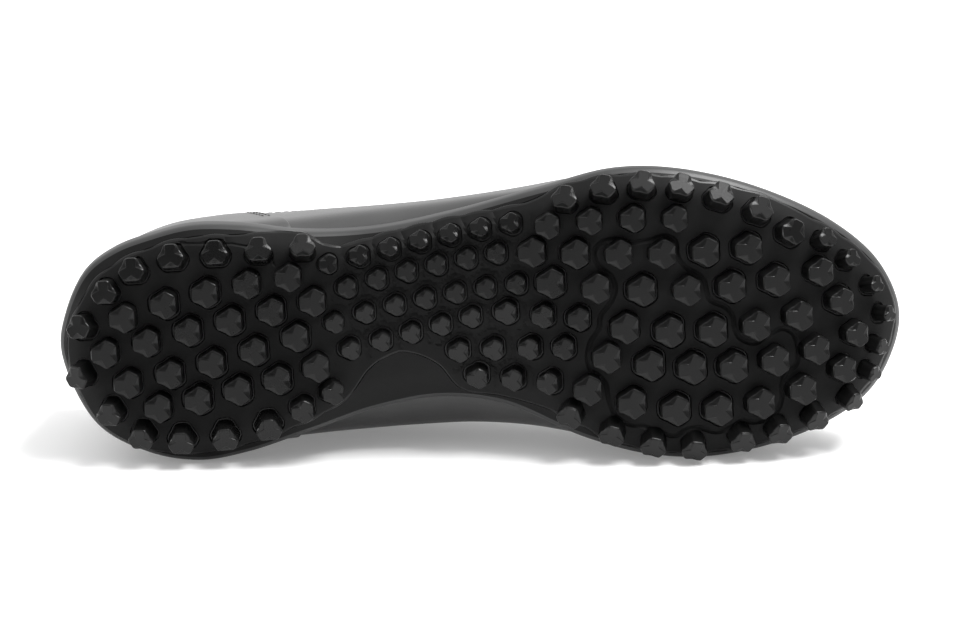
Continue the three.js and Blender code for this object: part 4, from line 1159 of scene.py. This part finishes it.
def build_tongue(finish):
    """Padded tongue, thickest along its middle, with a bound edge."""
    shell = Shell()
    rings = []
    rows, around = 46, 44
    for row in range(rows + 1):
        t = row / rows
        x = mix(TONGUE_END, TONGUE_TOP, t)
        middle = float(sections_at(np.array([x]))["crest"][0])
        end = math.sqrt(max(0.0, 1 - max(0.0, (t - 0.93) / 0.07) ** 2.4))
        half = TONGUE_HALF_WIDTH * mix(0.74, 1, float(ease(0, 0.6, t)))
        half *= (1 - 0.12 * float(ease(0.9, 1, t))) * mix(0.55, 1, end)
        lift = TONGUE_RISE * max(0, (THROAT_TOP - x) / (THROAT_TOP - TONGUE_TOP)) ** 1.5
        angle = full_turn(around)
        across = blunt(np.cos(angle), 0.7)
        y = middle + across * half
        thickness = TONGUE_THICKNESS * (1 - 0.4 * across**4) * (0.72 if row in (0, rows) else 1)
        inset = (1 - np.abs(across)) * half - BINDING_INSET
        binding = BINDING * np.exp(-(inset / BINDING_WIDTH) ** 2)
        wave = math.sin(2 * math.pi * x / TONGUE_RIB_PITCH) ** 2
        ribs = TONGUE_RIB * wave * (np.abs(across) < 0.7)
        swell = 0.5 + 0.5 * blunt(np.sin(angle), 0.6)
        sheet = crown_height(np.full(around, x), y, -WALL - TONGUE_CLEARANCE)
        z = sheet - thickness * (1 - swell) + lift - (binding + ribs) * (np.sin(angle) > 0)
        rings.append(np.column_stack([np.full(around, x), y, z]))
    starts = shell.rings(rings)
    for start, ring in ((starts[0], rings[0]), (starts[-1], rings[-1])):
        shell.hub(start, around, ring.mean(axis=0))
    tongue = shell.piece("padded_tongue", [finish], "textile", ["tongue"], 55)


def lace_band(shell, start, end, over):
    """One flat crossing of the lace, down into an eyelet at each end.

    over is 1 where it passes over the other crossing and 0 where it lies under it.
    """
    steps, around = 30, 14
    start, end = np.array(start), np.array(end)
    along = unit(end - start)
    side = np.array([-along[1], along[0]])
    rings = []
    for step in range(-3, steps + 4):
        t = min(1, max(0, step / steps))
        dive = max(0, -step, step - steps)
        place = mix(start, end, t)
        near = min(t, 1 - t) * np.linalg.norm(end - start)
        width = mix(LACE_WIDTH * 0.5, LACE_WIDTH, float(ease(*LACE_FLARE, near))) / 2
        angle = full_turn(around)
        across = blunt(np.cos(angle), 0.55)
        plan = place + side * (across * width)[:, None]
        base = crown_height(plan[:, 0], plan[:, 1], EYESTAY_STEP)
        flat = float(ease(*LACE_SETTLE, near))
        level = mix(crown_height(place[:1], place[1:], EYESTAY_STEP)[0], base, flat)
        clear = mix(LACE_SINK, LACE_CLEARANCE, float(ease(*LACE_CLIMB, near))) - LACE_DIVE * dive
        bridge = math.exp(-(((t - 0.5) * 2) / CROSSING_SHARE) ** 2)
        hump = over * (LACE_THICKNESS + CROSSING_GAP) * bridge
        thick = LACE_THICKNESS / 2 * blunt(np.sin(angle), 0.7)
        z = level + clear + hump + LACE_THICKNESS / 2 + thick * mix(1.7, 1, flat)
        rings.append(np.column_stack([plan, z]))
    starts = shell.rings(rings)
    shell.hub(starts[0], around, rings[0].mean(axis=0))
    shell.hub(starts[-1], around, rings[-1].mean(axis=0))


def build_laces(finish):
    """The bar across the lowest pair, then a cross between each pair and the next."""
    shell = Shell()
    pairs = eyelet_places()
    lace_band(shell, pairs[0][0], pairs[0][1], 0)
    for lower, higher in zip(pairs, pairs[1:]):
        lace_band(shell, lower[0], higher[1], 0)
        lace_band(shell, lower[1], higher[0], 1)
    shell.piece("lacing", [finish], "lace", ["laces"], 50)


def stitch_row(shell, path):
    """Stitches laid end to end along a line on the skin."""
    run = np.concatenate([[0], np.cumsum(np.linalg.norm(np.diff(path, axis=0), axis=1))])
    for at in np.arange(STITCH_PITCH / 2, run[-1] - STITCH_PITCH / 2, STITCH_PITCH):
        places = [at + sense * STITCH_LENGTH / 2 for sense in (-1, 1)]
        ends = [np.array([np.interp(place, run, c) for c in path.T]) for place in places]
        along = unit(ends[1] - ends[0])
        side = unit(np.cross(along, [0.31, 0.2, 0.93]))
        up = np.cross(side, along)
        angle = full_turn(6)[:, None]
        circle = (np.cos(angle) * side + np.sin(angle) * up) * STITCH_THICKNESS / 2
        rings = [
            mix(ends[0], ends[1], share) + circle * radius - up * sink
            for share, radius, sink in STITCH_FORM
        ]
        starts = shell.rings(rings)
        shell.hub(starts[0], 6, ends[0])
        shell.hub(starts[-1], 6, ends[1])


def build_stitching(finish):
    """Rows round the eyestay, along the collar and down the front of the heel counter."""
    shell = Shell()
    for margin in EYESTAY_STITCHES:
        x = np.linspace(THROAT_TOP + 6, THROAT_END, 60)
        middle, half = throat_middle(x)
        turn = np.linspace(-np.pi / 2, np.pi / 2, 24)[1:-1]
        radius = THROAT_END_HALF + margin
        arc = [THROAT_END + np.cos(turn) * radius, middle[-1] + np.sin(turn) * radius]
        plan = np.vstack([
            np.column_stack([x, middle - half - margin]), np.column_stack(arc),
            np.column_stack([x, middle + half + margin])[::-1],
        ])
        z = crown_height(plan[:, 0], plan[:, 1], EYESTAY_STEP + 0.1)
        stitch_row(shell, np.column_stack([plan, z]))
    for inner in (False, True):
        x = np.linspace(8, THROAT_TOP - 2, 80)
        for drop in COLLAR_STITCHES:
            stitch_row(shell, side_place(x, collar_height(x) - drop, inner, -0.05))
        z = np.linspace(COUNTER_STITCH_FOOT, COLLAR_DIP - 3, 40)
        for back in COUNTER_STITCHES:
            x = COUNTER_REACH - COUNTER_SLOPE * (z - HEEL_BED) - back
            stitch_row(shell, side_place(x, z, inner, COUNTER_STEP + 0.1))
    shell.piece("upper_stitching", [finish], "textile", crease=60)


# Finishes

HAZE_EDGES = (0.3, 0.72)


class Value:
    """A shader socket that takes part in Python expressions."""

    def __init__(self, finish, socket):
        self.finish, self.socket = finish, socket

    def _math(self, kind, *others):
        return self.finish.node("ShaderNodeMath", {"operation": kind}, [self, *others])

    def __add__(self, other):
        return self._math("ADD", other)

    def __mul__(self, other):
        return self._math("MULTIPLY", other)

    def __sub__(self, other):
        return self._math("SUBTRACT", other)

    __radd__ = __add__
    __rmul__ = __mul__

    def __rsub__(self, other):
        return self.finish.node("ShaderNodeMath", {"operation": "SUBTRACT"}, [other, self])

    def over(self, low, high):
        """0 below one value, 1 above another, smooth between."""
        settings = {"interpolation_type": "SMOOTHSTEP"}
        return self.finish.node("ShaderNodeMapRange", settings, {0: self, 1: low, 2: high})


class Nodes:
    """Node tree of a material or of the world."""

    def __init__(self, tree):
        self.tree = tree

    def node(self, kind, settings, inputs, output=0):
        made = self.tree.nodes.new(kind)
        for name, value in settings.items():
            setattr(made, name, value)
        pairs = inputs.items() if isinstance(inputs, dict) else enumerate(inputs)
        for socket, value in pairs:
            if isinstance(value, Value):
                self.tree.links.new(value.socket, made.inputs[socket])
            else:
                made.inputs[socket].default_value = value
        return Value(self, made.outputs[output])


class Finish(Nodes):
    """One procedural material."""

    def __init__(self, name, **constants):
        self.material = bpy.data.materials.new(name)
        self.material.use_nodes = True
        super().__init__(self.material.node_tree)
        self.shader = self.tree.nodes["Principled BSDF"]
        for socket, value in constants.items():
            self.shader.inputs[socket.replace("_", " ")].default_value = value
        self.place = self.node("ShaderNodeTexCoord", {}, {}, "Object")

    def noise(self, scale, detail=3.0, roughness=0.55, stretch=None):
        place = self.place
        if stretch is not None:
            place = self.node("ShaderNodeVectorMath", {"operation": "MULTIPLY"}, [place, stretch])
        inputs = {"Vector": place, "Scale": scale, "Detail": detail, "Roughness": roughness}
        return self.node("ShaderNodeTexNoise", {}, inputs)

    def cells(self, size_mm):
        """Rounded cells of a size: 0 at their middle, higher at their edge."""
        inputs = {"Vector": self.place, "Scale": 1000 / size_mm, "Randomness": 0.45}
        return self.node("ShaderNodeTexVoronoi", {}, inputs)

    def blend(self, share, first, second):
        """Colour between two colours."""
        settings = {"data_type": "RGBA"}
        return self.node("ShaderNodeMix", settings, {0: share, 6: first, 7: second}, 2)

    def feed(self, **sockets):
        for socket, value in sockets.items():
            self.tree.links.new(value.socket, self.shader.inputs[socket.replace("_", " ")])

    def bump(self, height, strength, distance):
        inputs = {"Strength": strength, "Distance": distance, "Height": height}
        self.feed(Normal=self.node("ShaderNodeBump", {}, inputs))


def grey(level, warm=0.0):
    return (level * (1 + warm), level, level * (1 - warm), 1.0)


def tread_rubber(name, level, roughness, gloss):
    """Near-black rubber of the studs, the ground between them and the bare waist."""
    finish = Finish(name, Roughness=roughness, Specular_IOR_Level=gloss)
    haze = finish.noise(35.0, 4.0)
    grain = finish.noise(1500.0, 2.0)
    finish.feed(
        Base_Color=finish.blend(haze.over(*HAZE_EDGES), grey(level * 0.75), grey(level)),
        Roughness=haze * 0.14 + grain * 0.08 + (roughness - 0.11),
    )
    finish.bump(grain + haze * 0.6, 0.22, 0.00012)
    return finish.material


def sidewall_rubber():
    """Smoother rubber of the midsole's side."""
    finish = Finish("sidewall_rubber", Roughness=0.45, Specular_IOR_Level=0.45)
    haze = finish.noise(26.0, 4.0)
    grain = finish.noise(1900.0, 2.0)
    finish.feed(
        Base_Color=finish.blend(haze.over(*HAZE_EDGES), grey(0.015, -0.01), grey(0.022, -0.01)),
        Roughness=haze * 0.12 + grain * 0.06 + 0.36,
    )
    finish.bump(grain + haze * 0.5, 0.16, 0.0001)
    return finish.material


def upper_synthetic():
    """Coated synthetic leather with a fine grain and soft wrinkles."""
    finish = Finish("upper_synthetic", Roughness=0.42, Specular_IOR_Level=0.45, Coat_Roughness=0.3)
    haze = finish.noise(22.0, 4.0)
    grain = finish.noise(1100.0, 3.0, 0.6)
    wrinkles = finish.noise(160.0, 5.0, 0.6, (1.0, 0.6, 0.45))
    finish.feed(
        Base_Color=finish.blend(haze.over(*HAZE_EDGES), grey(0.026), grey(0.036)),
        Roughness=haze * 0.12 + grain * 0.1 + 0.32,
        Coat_Weight=haze * 0.3 + 0.1,
    )
    finish.bump(grain * 0.7 + wrinkles * 0.8, 0.3, 0.00025)
    return finish.material


def knitted(name, level, cell_mm, depth_mm):
    """Soft cloth with an even, fine texture."""
    finish = Finish(name, Roughness=0.95, Specular_IOR_Level=0.2, Sheen_Weight=0.25)
    weave = 1 - finish.cells(cell_mm)
    fuzz = finish.noise(2400.0, 2.0)
    finish.feed(
        Base_Color=finish.blend(weave.over(0.25, 0.85), grey(level * 0.45), grey(level)),
        Roughness=fuzz * 0.1 + 0.86,
    )
    finish.bump(weave * 0.7 + fuzz * 0.3, 0.45, depth_mm / 1000)
    return finish.material


# Stage, lights and camera

PHOTO_WIDTH, PHOTO_HEIGHT = 960, 643
PIXELS_PER_MM = 2.90
VIEW_TILT, VIEW_PITCH = 9.0, 3.2
VIEW_DISTANCE = 1100.0
HEEL_PIXEL = (56.5, 355.0)
SENSOR = 36.0
FLOOR_REACH = 6.0
LIGHTS_AIM = (0, 0, 0.05)
GLOW_FACING = (0.0, 0.8, 0.75)
PAPER_GLOW = 0.2
FRONT_GLOW, BACK_GLOW = 0.1, 1.25


def add_camera():
    """Camera at the photograph's angle to the sole."""
    tilt, pitch = math.radians(VIEW_TILT), math.radians(VIEW_PITCH)
    right = np.array([math.cos(pitch), math.sin(pitch), 0])
    lift = np.array([math.sin(pitch), -math.cos(pitch), 0])
    rise = np.array([0, 0, 1.0])
    up = lift * math.cos(tilt) + rise * math.sin(tilt)
    back = np.cross(right, up)
    shift = np.array(HEEL_PIXEL) - (PHOTO_WIDTH / 2, PHOTO_HEIGHT / 2)
    target = -right * shift[0] / PIXELS_PER_MM + up * shift[1] / PIXELS_PER_MM
    spot = target + back * VIEW_DISTANCE
    data = bpy.data.cameras.new("photo_camera")
    data.sensor_width = SENSOR
    data.lens = SENSOR * VIEW_DISTANCE * PIXELS_PER_MM / PHOTO_WIDTH
    camera = bpy.data.objects.new("photo_camera", data)
    bpy.context.scene.collection.objects.link(camera)
    axes = np.stack([TURN @ right, TURN @ up, TURN @ back], axis=1)
    matrix = Matrix(axes.tolist()).to_4x4()
    matrix.translation = Vector(laid(spot).tolist())
    camera.matrix_world = matrix
    bpy.context.scene.camera = camera


def add_light(name, spot, size, power):
    data = bpy.data.lights.new(name, "AREA")
    data.shape, data.energy = "RECTANGLE", power
    data.size, data.size_y = size
    light = bpy.data.objects.new(name, data)
    light.location = spot
    facing = Vector(LIGHTS_AIM) - Vector(spot)
    light.rotation_euler = facing.to_track_quat("-Z", "Y").to_euler()
    bpy.context.scene.collection.objects.link(light)


def add_stage():
    """Pale paper under the shoe, and two soft lights."""
    side = FLOOR_REACH
    mesh = bpy.data.meshes.new("studio_floor")
    corners = [(-side, -side, 0), (side, -side, 0), (side, side, 0), (-side, side, 0)]
    mesh.from_pydata(corners, [], [(0, 1, 2, 3)])
    paper = Finish("studio_paper", Roughness=0.8, Specular_IOR_Level=0.1,
                   Emission_Color=(1, 1, 1, 1), Emission_Strength=PAPER_GLOW)
    tone = paper.noise(3.0, 2.0)
    paper.feed(Base_Color=paper.blend(tone, grey(0.84), grey(0.86)))
    mesh.materials.append(paper.material)
    floor = bpy.data.objects.new("studio_floor", mesh)
    bpy.context.scene.collection.objects.link(floor)
    bpy.context.scene.view_settings.view_transform = "Standard"
    add_light("overhead_softbox", (0.55, -0.12, 1.2), (0.9, 0.5), 27)
    add_light("left_softbox", (-1.25, -0.4, 0.12), (0.3, 0.35), 4)


def add_world():
    """Soft surround, dim from the side of the camera and bright from above and behind."""
    world = bpy.data.worlds.new("studio")
    world.use_nodes = True
    surround = Nodes(world.node_tree)
    direction = surround.node("ShaderNodeTexCoord", {}, {}, "Generated")
    height = surround.node("ShaderNodeVectorMath", {"operation": "DOT_PRODUCT"},
                           [direction, GLOW_FACING], "Value")
    glow = height.over(-0.35, 0.45) * (BACK_GLOW - FRONT_GLOW) + FRONT_GLOW
    seen = surround.node("ShaderNodeLightPath", {}, {}, "Is Camera Ray")
    background = world.node_tree.nodes["Background"]
    background.inputs["Color"].default_value = (1, 1, 1, 1)
    world.node_tree.links.new((glow * (1 - seen) + seen).socket, background.inputs["Strength"])
    bpy.context.scene.world = world


add_camera()
stud_finish = tread_rubber("stud_rubber", 0.0065, 0.3, 0.22)
ground_finish = tread_rubber("ground_rubber", 0.0065, 0.6, 0.13)
build_outsole(stud_finish, ground_finish)
build_midsole(sidewall_rubber(), tread_rubber("waist_rubber", 0.006, 0.42, 0.12))
skin_finish = upper_synthetic()
lining_finish = knitted("collar_lining", 0.035, 1.1, 0.25)
thread_finish = knitted("upper_thread", 0.05, 0.5, 0.08)
build_upper(skin_finish, lining_finish)
build_eyestay(skin_finish)
build_counter(skin_finish)
build_collar_padding(lining_finish)
build_insole(knitted("insole_cloth", 0.07, 0.9, 0.15))
build_tongue(knitted("tongue_cloth", 0.04, 1.3, 0.25))
build_laces(knitted("lace_weave", 0.045, 0.8, 0.2))
build_stitching(thread_finish)
add_stage()
add_world()
